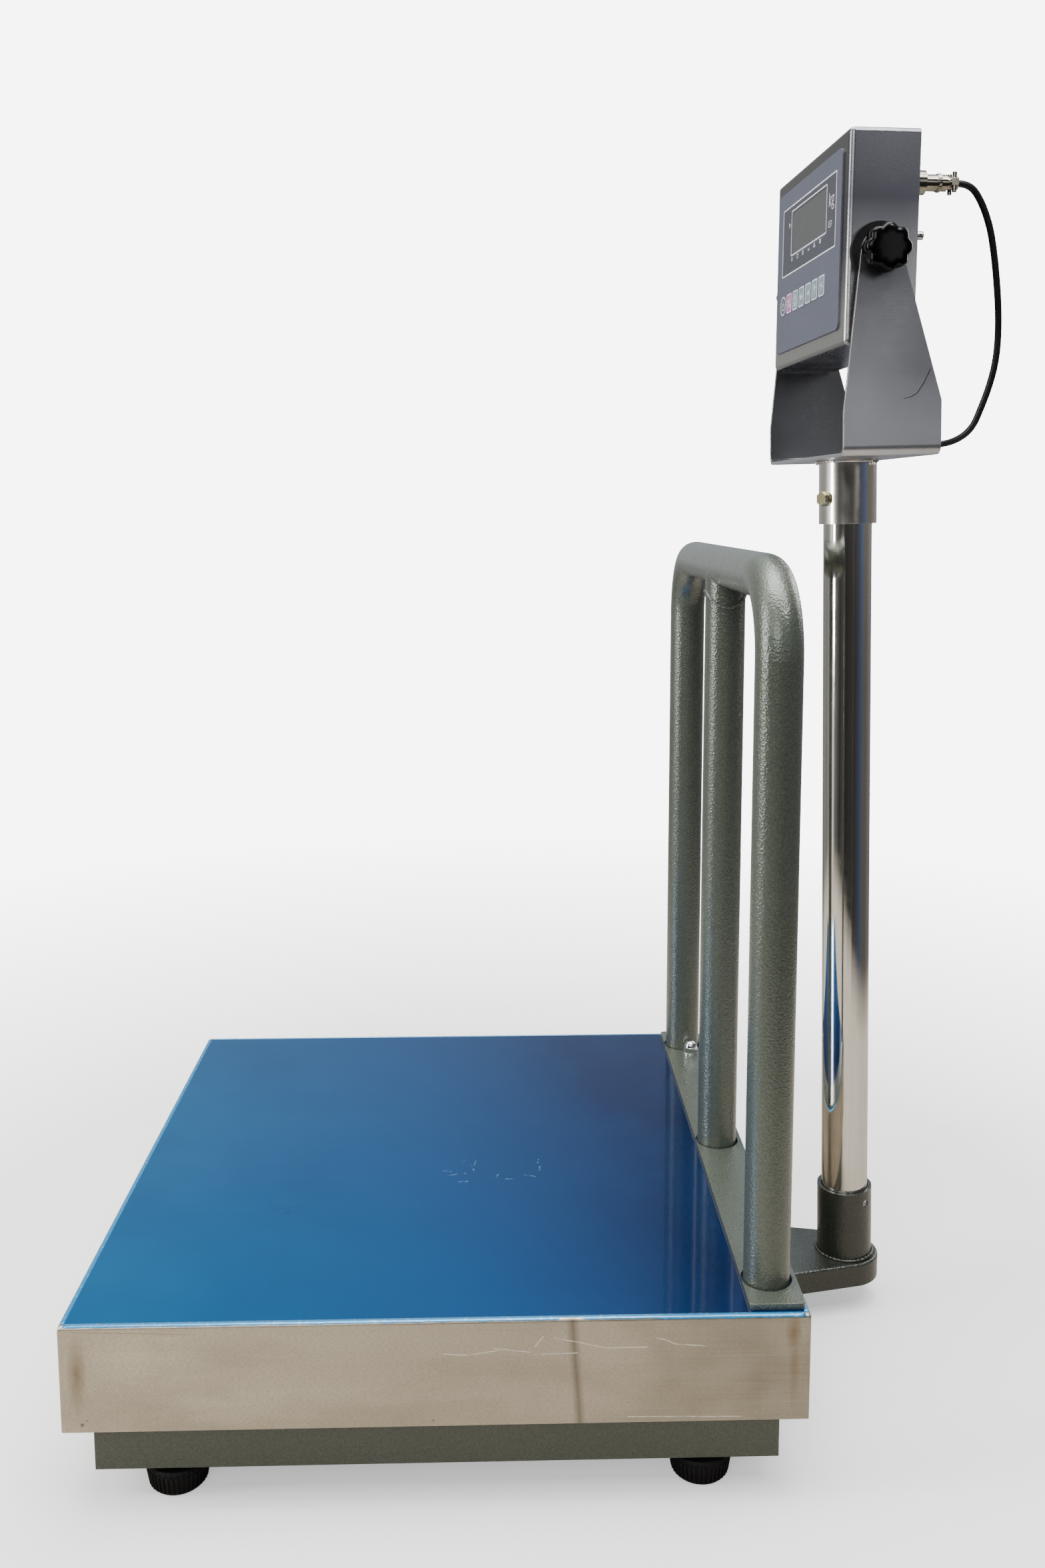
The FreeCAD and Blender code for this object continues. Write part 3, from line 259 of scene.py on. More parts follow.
class Graph:
    """A node tree under construction, of a new material or a new world.

    A material's place is in metres in the row frame, and a world's is a direction."""

    def __init__(self, name, world=False):
        self.owner = (bpy.data.worlds if world else bpy.data.materials).new(name)
        self.owner.use_nodes = True
        self.tree = self.owner.node_tree
        self.tree.nodes.clear()
        self.output = self.add("ShaderNodeOutputWorld" if world else "ShaderNodeOutputMaterial")
        self.place = self.add("ShaderNodeTexCoord").outputs["Generated" if world else "Object"]

    def add(self, kind, inputs=None, **settings):
        node = self.tree.nodes.new(kind)
        for key, value in settings.items():
            setattr(node, key, value)
        for key, value in (inputs or {}).items():
            self.feed(node.inputs[key], value)
        return node

    def feed(self, socket, value):
        if isinstance(value, bpy.types.NodeSocket):
            self.tree.links.new(value, socket)
        elif socket.type == "RGBA" and len(value) == 3:
            socket.default_value = (*value, 1)
        else:
            socket.default_value = value

    def math(self, operation, a, b=0.0, clamp=False):
        return self.add("ShaderNodeMath", {0: a, 1: b}, operation=operation,
                        use_clamp=clamp).outputs[0]

    def times(self, a, b):
        return self.math("MULTIPLY", a, b)

    def vector(self, operation, a, b=(0, 0, 0)):
        return self.add("ShaderNodeVectorMath", {0: a, 1: b}, operation=operation)

    def axes(self):
        return self.add("ShaderNodeSeparateXYZ", {0: self.place}).outputs

    def noise(self, scale, detail=3.0, rough=0.55, stretch=(1, 1, 1), bend=0.0):
        """Noise in cells a metre: the scale times each axis's stretch."""
        spot = self.vector("MULTIPLY", self.place, stretch).outputs[0]
        return self.add("ShaderNodeTexNoise", {"Vector": spot, "Scale": scale, "Detail": detail,
                        "Roughness": rough, "Distortion": bend}).outputs["Fac"]

    def cells(self, scale, feature="SMOOTH_F1"):
        """The distance inside rounded cells, so many a metre."""
        node = self.add("ShaderNodeTexVoronoi", feature=feature)
        self.feed(node.inputs["Vector"], self.place)
        node.inputs["Scale"].default_value = scale
        if "Smoothness" in node.inputs:
            node.inputs["Smoothness"].default_value = 0.6
        return node.outputs["Distance"]

    def ramp(self, value, *stops):
        """A grey or colour ramp through stops of (position, value)."""
        node = self.add("ShaderNodeValToRGB", {"Fac": value})
        elements = node.color_ramp.elements
        while len(elements) < len(stops):
            elements.new(0.5)
        for element, (position, tone) in zip(elements, stops):
            element.position = position
            element.color = (*tone, 1) if hasattr(tone, "__len__") else (tone, tone, tone, 1)
        return node.outputs["Color"]

    def mix(self, share, a, b, blend="MIX"):
        node = self.add("ShaderNodeMix", data_type="RGBA", blend_type=blend)
        self.feed(node.inputs["Factor"], share)
        self.feed(node.inputs[6], a)
        self.feed(node.inputs[7], b)
        return node.outputs[2]

    def span(self, value, low, high, to_low=0.0, to_high=1.0):
        return self.add("ShaderNodeMapRange", {"Value": value, "From Min": low, "From Max": high,
                        "To Min": to_low, "To Max": to_high}).outputs[0]

    def bump(self, height, strength, distance, normal=None):
        inputs = {"Height": height, "Strength": strength, "Distance": distance}
        if normal is not None:
            inputs["Normal"] = normal
        return self.add("ShaderNodeBump", inputs).outputs["Normal"]

    def rounded(self, radius):
        return self.add("ShaderNodeBevel", {"Radius": radius}, samples=4).outputs[0]

    def edges(self, radius):
        """One on sharp edges, none on flats: where a rounded normal leaves the true one."""
        flat, sharp = 0.995, 0.80
        true = self.add("ShaderNodeNewGeometry").outputs["True Normal"]
        level = self.vector("DOT_PRODUCT", self.rounded(radius), true).outputs["Value"]
        return self.span(level, flat, sharp)

    def line(self, start, end, width, axes="yz"):
        """One inside a soft line between two points, in millimetres on two axes."""
        keep = tuple(1.0 if a in axes else 0.0 for a in "xyz")
        a = Vector([start[axes.index(k)] * MM if k in axes else 0 for k in "xyz"])
        b = Vector([end[axes.index(k)] * MM if k in axes else 0 for k in "xyz"])
        along = b - a
        flat = self.vector("MULTIPLY", self.place, keep).outputs[0]
        from_start = self.vector("SUBTRACT", flat, a).outputs[0]
        share = along / along.length_squared
        reach = self.vector("DOT_PRODUCT", from_start, share).outputs["Value"]
        reach = self.math("ADD", reach, 0.0, clamp=True)
        nearest = self.add("ShaderNodeVectorMath", {0: along, "Scale": reach}, operation="SCALE")
        apart = self.vector("DISTANCE", from_start, nearest.outputs[0]).outputs["Value"]
        return self.span(apart, width * 0.5 * MM, 0.0)

    def spot(self, centre, radii):
        """One at a point and none past the radii round it, in millimetres."""
        apart = self.vector("SUBTRACT", self.place, Vector(centre) * MM).outputs[0]
        apart = self.vector("MULTIPLY", apart, tuple(1 / (r * MM) for r in radii)).outputs[0]
        return self.span(self.vector("LENGTH", apart).outputs["Value"], 1.0, 0.0)

    def most(self, *values):
        """The greatest of several values."""
        found = values[0]
        for value in values[1:]:
            found = self.math("MAXIMUM", found, value)
        return found

    def normal_part(self, axis):
        """How far the true normal points along an axis, from -1 to 1."""
        normal = self.add("ShaderNodeNewGeometry").outputs["True Normal"]
        return self.add("ShaderNodeSeparateXYZ", {0: normal}).outputs["XYZ".index(axis)]

    def facing(self, axis):
        """How far the true normal lies along an axis, from 0 to 1, whichever way it points."""
        return self.math("ABSOLUTE", self.normal_part(axis))

    def show(self, shader):
        self.tree.links.new(shader.outputs[0], self.output.inputs["Surface"])

    def finish(self, **values):
        """The material, with values given to a Principled shader by short names."""
        names = {"colour": "Base Color", "metal": "Metallic", "rough": "Roughness",
                 "normal": "Normal", "coat": "Coat Weight", "coat_rough": "Coat Roughness",
                 "coat_normal": "Coat Normal", "specular": "Specular IOR Level", "ior": "IOR"}
        self.show(self.add("ShaderNodeBsdfPrincipled",
                           {names[key]: value for key, value in values.items()}))
        return self.owner


def film_material():
    """The protective film: blue gloss with scuffs, dust and specks.

    Its ramp from light to dark along Y stands for the photograph's reflections."""
    g = Graph("film")
    x, y, _ = g.axes()
    blotch = g.noise(7, 3)
    across = g.span(g.math("ADD", y, g.times(x, -0.15)), -0.32, 0.20)
    colour = g.ramp(across, (0.0, (0.014, 0.190, 0.46)), (0.5, (0.004, 0.095, 0.30)),
                    (0.8, (0.001, 0.028, 0.135)), (1.0, (0.001, 0.018, 0.10)))
    colour = g.mix(g.span(blotch, 0.40, 0.70, 0.0, 0.35), colour, (0.004, 0.085, 0.26))
    draw = random.Random(11)
    marks = []
    for _ in range(13):
        centre = (draw.uniform(28, 82), draw.uniform(-62, 18))
        angle, long = draw.uniform(0, 3.1), draw.uniform(3, 9)
        end = (centre[0] + long * math.cos(angle), centre[1] + long * math.sin(angle))
        marks.append(g.line(centre, end, draw.uniform(1.2, 2.2), "xy"))
    breakup = g.span(g.noise(420, 3), 0.42, 0.62)
    scuff = g.times(g.most(*marks), breakup)
    colour = g.mix(g.times(scuff, 0.95), colour, (0.34, 0.62, 0.80))
    specks = g.most(g.spot((104, -177, FILM_TOP), (2.6, 1.8, 4)),
                    g.spot((96, -190, FILM_TOP), (1.2, 3, 4)),
                    g.line((101, -195), (93, -160), 0.8, "xy"))
    colour = g.mix(g.times(specks, 0.6), colour, (0.006, 0.05, 0.11))
    dust = g.span(g.noise(1500, 1), 0.70, 0.78)
    colour = g.mix(g.times(dust, 0.35), colour, (0.12, 0.34, 0.55))
    rough = g.span(g.noise(26, 4), 0.3, 0.7, 0.10, 0.17)
    waves = g.bump(g.noise(16, 2, stretch=(1, 0.35, 1)), 0.10, 0.002)
    grain = g.bump(g.noise(260, 2, stretch=(8, 0.25, 1)), 0.10, 0.0003, waves)
    return g.finish(colour=colour, metal=0.72, rough=0.19, coat=0.50,
                    coat_rough=g.times(rough, 0.28),
                    coat_normal=g.bump(scuff, 0.25, 0.0002, waves), normal=grain, ior=1.5,
                    specular=0.2)


def skirt_material():
    """The pan: warm stainless with a grain that runs round the skirt, tint, scratches and a mark.

    Its ramp from bright to dull along Y stands for the photograph's reflections."""
    g = Graph("pan_steel")
    x, y, _ = g.axes()
    grain = g.noise(1, 4, 0.65, (18, 18, 2600))
    grain_fine = g.noise(1, 2, 0.5, (60, 60, 9000))
    bands = g.noise(1, 3, 0.5, (3, 3, 70))
    blotch = g.noise(9, 3)
    colour = g.mix(g.span(bands, 0.3, 0.7), (0.56, 0.50, 0.41), (0.68, 0.625, 0.53))
    aside = g.mix(g.span(y, -0.26, 0.16), (1.38, 1.36, 1.33), (0.42, 0.40, 0.370))
    colour = g.mix(1.0, colour, aside, "MULTIPLY")
    colour = g.mix(g.span(blotch, 0.35, 0.7), colour, (0.60, 0.53, 0.43))
    colour = g.mix(g.span(grain, 0.35, 0.75, 0.0, 0.35), colour, (0.70, 0.66, 0.58))
    stain = g.noise(1, 4, 0.6, (7, 7, 26))
    colour = g.mix(g.span(stain, 0.48, 0.72, 0.0, 0.42), colour, (0.33, 0.275, 0.20))
    ragged = g.span(g.noise(60, 4), 0.3, 0.7, 0.55, 1.0)
    heat = g.most(g.spot((PAN_FACE, -296, 102), (30, 7, 30)),
                  g.spot((PAN_FACE, 180, 124), (30, 6, 17)),
                  g.times(g.spot((PAN_FACE, 181, 105), (30, 4, 40)), 0.5),
                  g.times(g.spot((-PAN_FACE, -296, 100), (30, 7, 30)), 0.8),
                  g.times(g.spot((-PAN_FACE, 180, 110), (30, 6, 25)), 0.8))
    heat = g.times(g.math("POWER", heat, 0.8), ragged)
    colour = g.mix(g.times(heat, 0.75), colour, (0.20, 0.115, 0.035))
    mark = g.most(g.line((32.2, 135), (34.0, 107), 9.5), g.line((34.0, 107), (36.3, 78), 8.5),
                  g.line((36.3, 78), (37.3, 60), 9.0))
    colour = g.mix(g.times(mark, 0.62), colour, (0.10, 0.075, 0.055))
    speck = g.noise(1, 3, 0.7, (420, 420, 1100))
    colour = g.mix(g.span(speck, 0.42, 0.72, 0.0, 0.45), colour, (0.27, 0.235, 0.19))
    runs = (((19.8, 122.7), (37.1, 119.1), (54, 114.9), (82.5, 115)),
            ((88.2, 121.4), (94.9, 119.9), (100.7, 116.9), (121, 115.1)),
            ((-20.6, 116), (3.8, 112.8)), ((5.6, 111.2), (35.8, 111.7)), ((69.5, 65.1), (146, 63.8)),
            ((-53.8, 112.7), (-38.3, 111.5), (-11.7, 115.2)), ((7.3, 116.8), (12.7, 123.8)))
    scratch = g.most(*[g.line(a, b, 1.1) for run in runs for a, b in zip(run, run[1:])])
    near = g.span(x, 0.2, 0.24)
    scratch = g.times(g.times(scratch, near),
                     g.span(g.noise(170, 3), 0.30, 0.55, 0.25, 1.0))
    dark = g.line((-299, 132.5), (-220, 129.6), 0.8)
    dark = g.times(g.times(dark, near), 0.5)
    colour = g.mix(g.times(scratch, 0.95), colour, (0.97, 0.95, 0.90))
    colour = g.mix(dark, colour, (0.16, 0.13, 0.10))
    rust = g.most(g.spot((PAN_FACE, -293.7, 66.4), (30, 1.7, 1.9)),
                  g.spot((PAN_FACE, -61, 65.2), (30, 1.0, 1.0)),
                  g.spot((PAN_FACE, -290.5, 69.5), (30, 0.8, 0.8)))
    colour = g.mix(g.times(rust, 0.9), colour, (0.10, 0.035, 0.012))
    edge = g.edges(0.0012)
    colour = g.mix(g.times(edge, 0.35), colour, (0.80, 0.77, 0.70))
    rough = g.math("ADD", g.span(g.noise(20, 4), 0.3, 0.7, 0.30, 0.40),
                   g.span(grain, 0.3, 0.7, -0.04, 0.06))
    rough = g.math("ADD", rough, g.times(heat, 0.12))
    height = g.math("ADD", g.times(grain, 0.6), g.times(grain_fine, 0.4))
    normal = g.bump(height, 0.20, 0.00012, g.rounded(0.0006))
    normal = g.bump(scratch, 0.30, 0.0001, normal)
    normal = g.bump(g.noise(5, 2), 0.12, 0.004, normal)
    return g.finish(colour=colour, metal=0.92, rough=rough, normal=normal)


def paint_material():
    """Grey-green hammertone: dimpled gloss over fine metallic flake.

    The arm, the socket and the lower frame are darkened with painted shade."""
    g = Graph("paint")
    dimple = g.cells(640)
    small = g.noise(1500, 3)
    mottle = g.noise(620, 4, 0.6)
    colour = g.mix(g.span(mottle, 0.36, 0.66), (0.078, 0.092, 0.071), (0.112, 0.130, 0.101))
    colour = g.mix(g.span(small, 0.52, 0.74, 0.0, 0.30), colour, (0.20, 0.225, 0.185))
    colour = g.mix(g.span(g.noise(11, 3), 0.35, 0.75, 0.0, 0.18), colour, (0.072, 0.083, 0.066))
    _, y, z = g.axes()
    # painted shade: the arm and socket at about a third of their tone, and the frame a little darker
    # towards the floor
    shade = g.mix(g.span(y, 0.19, 0.25), (1.0, 1.0, 1.0), (0.30, 0.30, 0.30))
    shade = g.mix(g.span(z, 0.13, 0.06, 0.0, 0.3), shade, (0.4, 0.4, 0.4))
    colour = g.mix(1.0, colour, shade, "MULTIPLY")
    worn = g.times(g.edges(0.0010), g.span(g.noise(140, 4), 0.42, 0.62))
    colour = g.mix(g.times(worn, 0.35), colour, (0.32, 0.33, 0.31))
    height = g.math("ADD", g.times(dimple, 0.9), g.times(small, 0.35))
    normal = g.bump(height, 0.26, 0.0008, g.rounded(0.0008))
    run = g.bump(g.noise(38, 2), 0.03, 0.0020, normal)
    rough = g.span(g.noise(55, 3), 0.3, 0.7, 0.24, 0.34)
    return g.finish(colour=colour, metal=0.28, rough=rough, normal=run, coat=0.75, coat_rough=0.07,
                    coat_normal=g.bump(height, 0.40, 0.0010, g.rounded(0.0008)), specular=0.5)


def polished_material(name, tone, rough_low, rough_high, grain_strength=0.05):
    """Drawn and polished stainless tube: long faint draw lines and fingerprints."""
    g = Graph(name)
    draw_lines = g.noise(1, 3, 0.6, (1500, 1500, 3))
    smudge = g.noise(45, 4, 0.6)
    haze = g.noise(1, 4, 0.6, (70, 70, 9))
    colour = g.mix(g.span(draw_lines, 0.35, 0.7), tone, scaled(tone, 1.14))
    colour = g.mix(g.span(smudge, 0.52, 0.8, 0.0, 0.30), colour, scaled(tone, 0.78))
    rough = g.math("ADD", g.span(smudge, 0.35, 0.75, rough_low, rough_high),
                   g.span(haze, 0.4, 0.8, 0.0, 0.05))
    ticks = g.span(g.noise(1, 3, 0.7, (240, 240, 900), bend=0.6), 0.70, 0.76)
    colour = g.mix(g.times(ticks, 0.25), colour, (0.9, 0.9, 0.9))
    normal = g.bump(draw_lines, grain_strength, 0.00008, g.rounded(0.0004))
    return g.finish(colour=colour, metal=1.0, rough=rough, normal=normal)


def satin_material(name, low, high, stretch, rough=(0.30, 0.42), ears=False, strip=None):
    """Brushed stainless sheet with a grain, soft streaks, fingerprints, and edges brightened as a
    painted highlight.

    ears paints the bracket's scratch and its painted shade and highlights, and strip paints light and
    shade by height on the case's edges, front and sides."""
    g = Graph(name)
    x, y, z = g.axes()
    grain = g.noise(1, 4, 0.7, stretch)
    fleck = g.noise(1700, 2, 0.5)
    streak = g.noise(1, 3, 0.5, tuple(s * 0.05 for s in stretch))
    cloud = g.noise(16, 3)
    colour = g.mix(g.span(streak, 0.1, 0.9, 0.25, 0.75), low, high)
    colour = g.mix(g.span(grain, 0.35, 0.72, 0.0, 0.30), colour, scaled(high, 1.25))
    colour = g.mix(g.span(cloud, 0.45, 0.75, 0.0, 0.25), colour, scaled(low, 0.82))
    colour = g.mix(g.span(fleck, 0.55, 0.75, 0.0, 0.30), colour, scaled(low, 0.72))
    if ears:
        # painted shade near the pivot under the knob and to the rear, a painted highlight at the foot,
        # and painted shade on the inner faces
        colour = g.mix(g.span(z, 0.760, 0.835, 0.0, 0.85), colour, scaled(low, 0.34))
        colour = g.mix(g.span(y, 0.250, 0.295, 0.0, 0.80), colour, scaled(low, 0.52))
        colour = g.mix(g.span(z, 0.765, 0.725, 0.0, 0.6), colour, scaled(high, 1.35))
        outward = g.times(x, g.normal_part("X"))
        colour = g.mix(g.span(outward, -0.03, -0.06, 0.0, 0.80), colour, (0.085, 0.085, 0.088))
    if strip:
        # painted light and shade by height on the case's front and sides: the strip's tone low down and
        # painted shade above it
        height = g.span(z, 0.78, 0.96)
        front = g.ramp(height, (0.0, strip), (0.16, strip), (0.40, (0.09, 0.09, 0.095)),
                       (1.0, (0.22, 0.21, 0.195)))
        share = g.times(g.times(g.facing("Y"), g.facing("Y")), 0.92)
        colour = g.mix(share, colour, front)
        side = g.ramp(height, (0.0, strip), (0.34, (0.44, 0.44, 0.455)),
                      (0.60, (0.11, 0.11, 0.135)), (0.80, (0.19, 0.19, 0.215)),
                      (1.0, (0.30, 0.30, 0.32)))
        colour = g.mix(g.times(g.facing("X"), 0.85), colour, side)
    # painted highlight: the edges brightened towards white
    colour = g.mix(g.times(g.edges(0.0009), 0.45), colour, (0.86, 0.86, 0.84))
    height = g.math("ADD", grain, g.times(fleck, 0.3))
    level = g.math("ADD", g.span(cloud, 0.3, 0.7, *rough), g.span(grain, 0.3, 0.7, -0.03, 0.05))
    normal = g.bump(height, 0.22, 0.0001, g.rounded(0.0005))
    if ears:
        spots = ((296.5, 767.5), (292.5, 758.6), (287.4, 750.7), (282.7, 747.9), (277.9, 746.9))
        mark = g.most(*[g.line(a, b, 0.9) for a, b in zip(spots, spots[1:])])
        mark = g.times(mark, g.span(x, 0.05, 0.09))
        colour = g.mix(g.times(mark, 0.85), colour, (0.03, 0.03, 0.035))
        normal = g.bump(mark, 0.5, -0.0002, normal)
    return g.finish(colour=colour, metal=0.95, rough=level, normal=normal)


def plated_material(name, tone, rough=(0.12, 0.26), stain=0.35):
    """Plated fasteners and turned parts: turning marks, dull patches and bright edges."""
    g = Graph(name)
    patch = g.noise(160, 4, 0.6)
    turned = g.noise(1, 3, 0.6, (900, 3500, 900))
    colour = g.mix(g.span(patch, 0.35, 0.7), tone, scaled(tone, 1 - stain))
    colour = g.mix(g.times(g.edges(0.0005), 0.4), colour, (0.93, 0.92, 0.88))
    level = g.span(patch, 0.3, 0.7, *rough)
    normal = g.bump(turned, 0.10, 0.00008, g.rounded(0.0003))
    return g.finish(colour=colour, metal=1.0, rough=level, normal=normal)


def moulded_material(name, low, high, rough, grain, scale, gloss=0.28):
    """Moulded plastic or rubber: fine skin texture, dust in it and rubbed edges."""
    g = Graph(name)
    skin = g.noise(scale, 3, 0.6)
    cloud = g.noise(60, 3)
    colour = g.mix(g.span(cloud, 0.3, 0.7), low, high)
    dust = g.times(g.span(g.noise(480, 4, 0.7), 0.55, 0.75), 0.30)
    colour = g.mix(dust, colour, scaled(high, 2.2, 0.01))
    colour = g.mix(g.times(g.edges(0.0008), 0.30), colour, scaled(high, 2.5, 0.01))
    level = g.span(cloud, 0.3, 0.7, *rough)
    normal = g.bump(skin, grain, 0.0002, g.rounded(0.0006))
    return g.finish(colour=colour, metal=0.0, rough=level, normal=normal, specular=gloss)


def printed_material(name, low, high, rough=(0.38, 0.50), weave=False):
    """Printed polycarbonate film: an even colour with a fine matt texture and faint wear."""
    g = Graph(name)
    fine = g.noise(2200, 2)
    cloud = g.noise(30, 3)
    colour = g.mix(g.span(fine, 0.35, 0.65), low, high)
    colour = g.mix(g.span(cloud, 0.45, 0.8, 0.0, 0.25), colour, scaled(high, 1.25))
    height = fine
    if weave:
        x, _, z = g.axes()
        waves = [g.math("SINE", g.times(g.math(sign, x, z), 2600.0)) for sign in ("ADD", "SUBTRACT")]
        height = g.times(*waves)
        colour = g.mix(g.span(height, -1, 1, 0.0, 0.35), colour, scaled(low, 0.55))
    level = g.span(cloud, 0.3, 0.7, *rough)
    normal = g.bump(height, 0.18, 0.00008, g.rounded(0.0003))
    return g.finish(colour=colour, metal=0.0, rough=level, normal=normal, specular=0.45)


def circuit_material():
    """A green board with paler tracks."""
    g = Graph("circuit")
    tracks = g.cells(260, "DISTANCE_TO_EDGE")
    line = g.span(tracks, 0.02, 0.05, 1.0, 0.0)
    colour = g.mix(g.span(g.noise(90), 0.3, 0.7), (0.008, 0.075, 0.035), (0.012, 0.105, 0.05))
    colour = g.mix(g.times(line, 0.6), colour, (0.05, 0.22, 0.10))
    return g.finish(colour=colour, metal=0.0, rough=g.span(g.noise(300), 0.3, 0.7, 0.22, 0.35),
                    normal=g.bump(line, 0.3, 0.00006), coat=0.4, coat_rough=0.2)


PANEL_TONES = (0.082, 0.088, 0.125), (0.125, 0.132, 0.172)

MATERIALS = {
    "pan_steel": skirt_material(),
    "film": film_material(),
    "paint": paint_material(),
    "column_steel": polished_material("column_steel", (0.80, 0.775, 0.73), 0.045, 0.12),
    "head_steel": satin_material("head_steel", (0.42, 0.425, 0.465), (0.54, 0.545, 0.585),
                                 (90, 90, 2600), (0.26, 0.36), ears=True),
    "zinc": plated_material("zinc", (0.62, 0.63, 0.66)),
    "chrome_nut": plated_material("chrome_nut", (0.86, 0.87, 0.88), (0.05, 0.14), 0.12),
    "nickel": plated_material("nickel", (0.36, 0.335, 0.27), (0.10, 0.20), 0.30),
    "brass": plated_material("brass", (0.86, 0.76, 0.45), (0.16, 0.30), 0.22),
    "rubber": moulded_material("rubber", (0.005, 0.005, 0.006), (0.010, 0.010, 0.011),
                               (0.46, 0.62), 0.30, 900, 0.18),
    "knob_plastic": moulded_material("knob_plastic", (0.0008, 0.0008, 0.0010),
                                     (0.0014, 0.0014, 0.0018), (0.12, 0.20), 0.06, 1500, 0.20),
    "panel_print": printed_material("panel_print", *PANEL_TONES),
    "window": printed_material("window", (0.070, 0.072, 0.074), (0.118, 0.118, 0.118),
                               (0.30, 0.40), True),
    "key_blue": printed_material("key_blue", (0.19, 0.275, 0.325), (0.24, 0.33, 0.38)),
    "key_pink": printed_material("key_pink", (0.46, 0.135, 0.38), (0.52, 0.17, 0.43)),
    "key_dark": printed_material("key_dark", *PANEL_TONES),
    "circuit": circuit_material(),
    "battery_case": moulded_material("battery_case", (0.03, 0.03, 0.033), (0.045, 0.045, 0.05),
                                     (0.4, 0.5), 0.2, 700),
    "cell_metal": satin_material("cell_metal", (0.68, 0.69, 0.71), (0.76, 0.77, 0.78),
                                 (40, 2200, 40)),
}
PRINT = printed_material("white_print", (0.90, 0.91, 0.93), (0.95, 0.96, 0.97))
FIELD = printed_material("field_print", (0.052, 0.054, 0.072), (0.078, 0.080, 0.100))
CASE = satin_material("case_steel", (0.24, 0.243, 0.275), (0.31, 0.313, 0.345),
                      (700, 700, 1100), (0.22, 0.32), strip=(0.52, 0.51, 0.475))
SLEEVE = polished_material("sleeve_steel", (0.86, 0.83, 0.77), 0.13, 0.26, 0.10)
OWN_MATERIALS = {"indicator_case": CASE, "rear_cover": CASE, "head_sleeve": SLEEVE}

for entry in frame["record"]["subparts"]:
    node = frame["nodes"][entry["node"]]
    chosen = OWN_MATERIALS.get(entry["node"], MATERIALS[entry["material_slot"]])
    if not node.material_slots:
        node.data.materials.append(chosen)
    for socket in node.material_slots:
        socket.material = chosen
CABLE.data.materials.append(moulded_material("cable_jacket", (0.008, 0.008, 0.009),
                                             (0.013, 0.013, 0.014), (0.30, 0.42), 0.22, 700))


# ---------------------------------------------------------------- front panel print
PANEL_FRONT = -24.15
KEY_FRONT = -24.35
PRINT_HEIGHT = 0.07
KEY_FIRST_X, KEY_STEP, KEY_Z = -49.2, 18, -15
POWER_X = -66.8
CLOSED = True


def stroke(shape, points, width, front, closed=False):
    """A flat printed line through (x, z) points in millimetres, standing a little proud of front."""
    spots = [Vector((x, 0, z)) for x, z in points]
    count = len(spots)
    left, right = [], []
    for i, spot in enumerate(spots):
        ahead = spots[(i + 1) % count] - spot if closed or i < count - 1 else None
        behind = spot - spots[i - 1] if closed or i else None
        a = (ahead or behind).normalized()
        b = (behind or ahead).normalized()
        along = (a + b).normalized() if (a + b).length > 1e-6 else a
        across = Vector((-along.z, 0, along.x))
        stretch = 1 / max(0.45, across.dot(Vector((-a.z, 0, a.x))))
        left.append(spot + across * width / 2 * stretch)
        right.append(spot - across * width / 2 * stretch)
    points3, faces = [], []
    for y in (front - PRINT_HEIGHT, front + 0.02):
        points3 += [Vector((p.x, y, p.z)) for p in left] + [Vector((p.x, y, p.z)) for p in right]
    low = 2 * count
    for i in range(count if closed else count - 1):
        j = (i + 1) % count
        faces += [(i, j, count + j, count + i), (low + i, low + count + i, low + count + j, low + j),
                  (i, low + i, low + j, j), (count + i, count + j, low + count + j, low + count + i)]
    if not closed:
        e = count - 1
        faces += [(0, count, low + count, low), (e, low + e, low + count + e, count + e)]
    shape.add(points3, faces)


def rounded_outline(x, z, width, height, radius, steps=5):
    """A rectangle round (x, z) with rounded corners."""
    spots = []
    for quarter, (sx, sz) in enumerate(((1, 1), (-1, 1), (-1, -1), (1, -1))):
        for k in range(steps + 1):
            angle = math.pi / 2 * (quarter + k / steps)
            spots.append((x + sx * (width / 2 - radius) + radius * math.cos(angle),
                          z + sz * (height / 2 - radius) + radius * math.sin(angle)))
    return spots


def oval(x, z, width, height, steps=24, start=0.0, end=360.0):
    """An oval round (x, z), or its arc between two angles in degrees."""
    count = steps if end - start >= 360 else steps + 1
    angles = [math.radians(start + (end - start) * k / steps) for k in range(count)]
    return [(x + width / 2 * math.cos(a), z + height / 2 * math.sin(a)) for a in angles]


def printed(name, body, slot, lines, front, ink=PRINT, centre=(0, 0)):
    """One piece of printed lines, each (points, width) or (points, width, CLOSED), round a centre."""
    shape = Shape()
    for points, width, *closed in lines:
        spots = [(centre[0] + x, centre[1] + z) for x, z in points]
        stroke(shape, spots, width, front, bool(closed))
    shape.piece(name, body, slot, ink, INDICATOR, False)


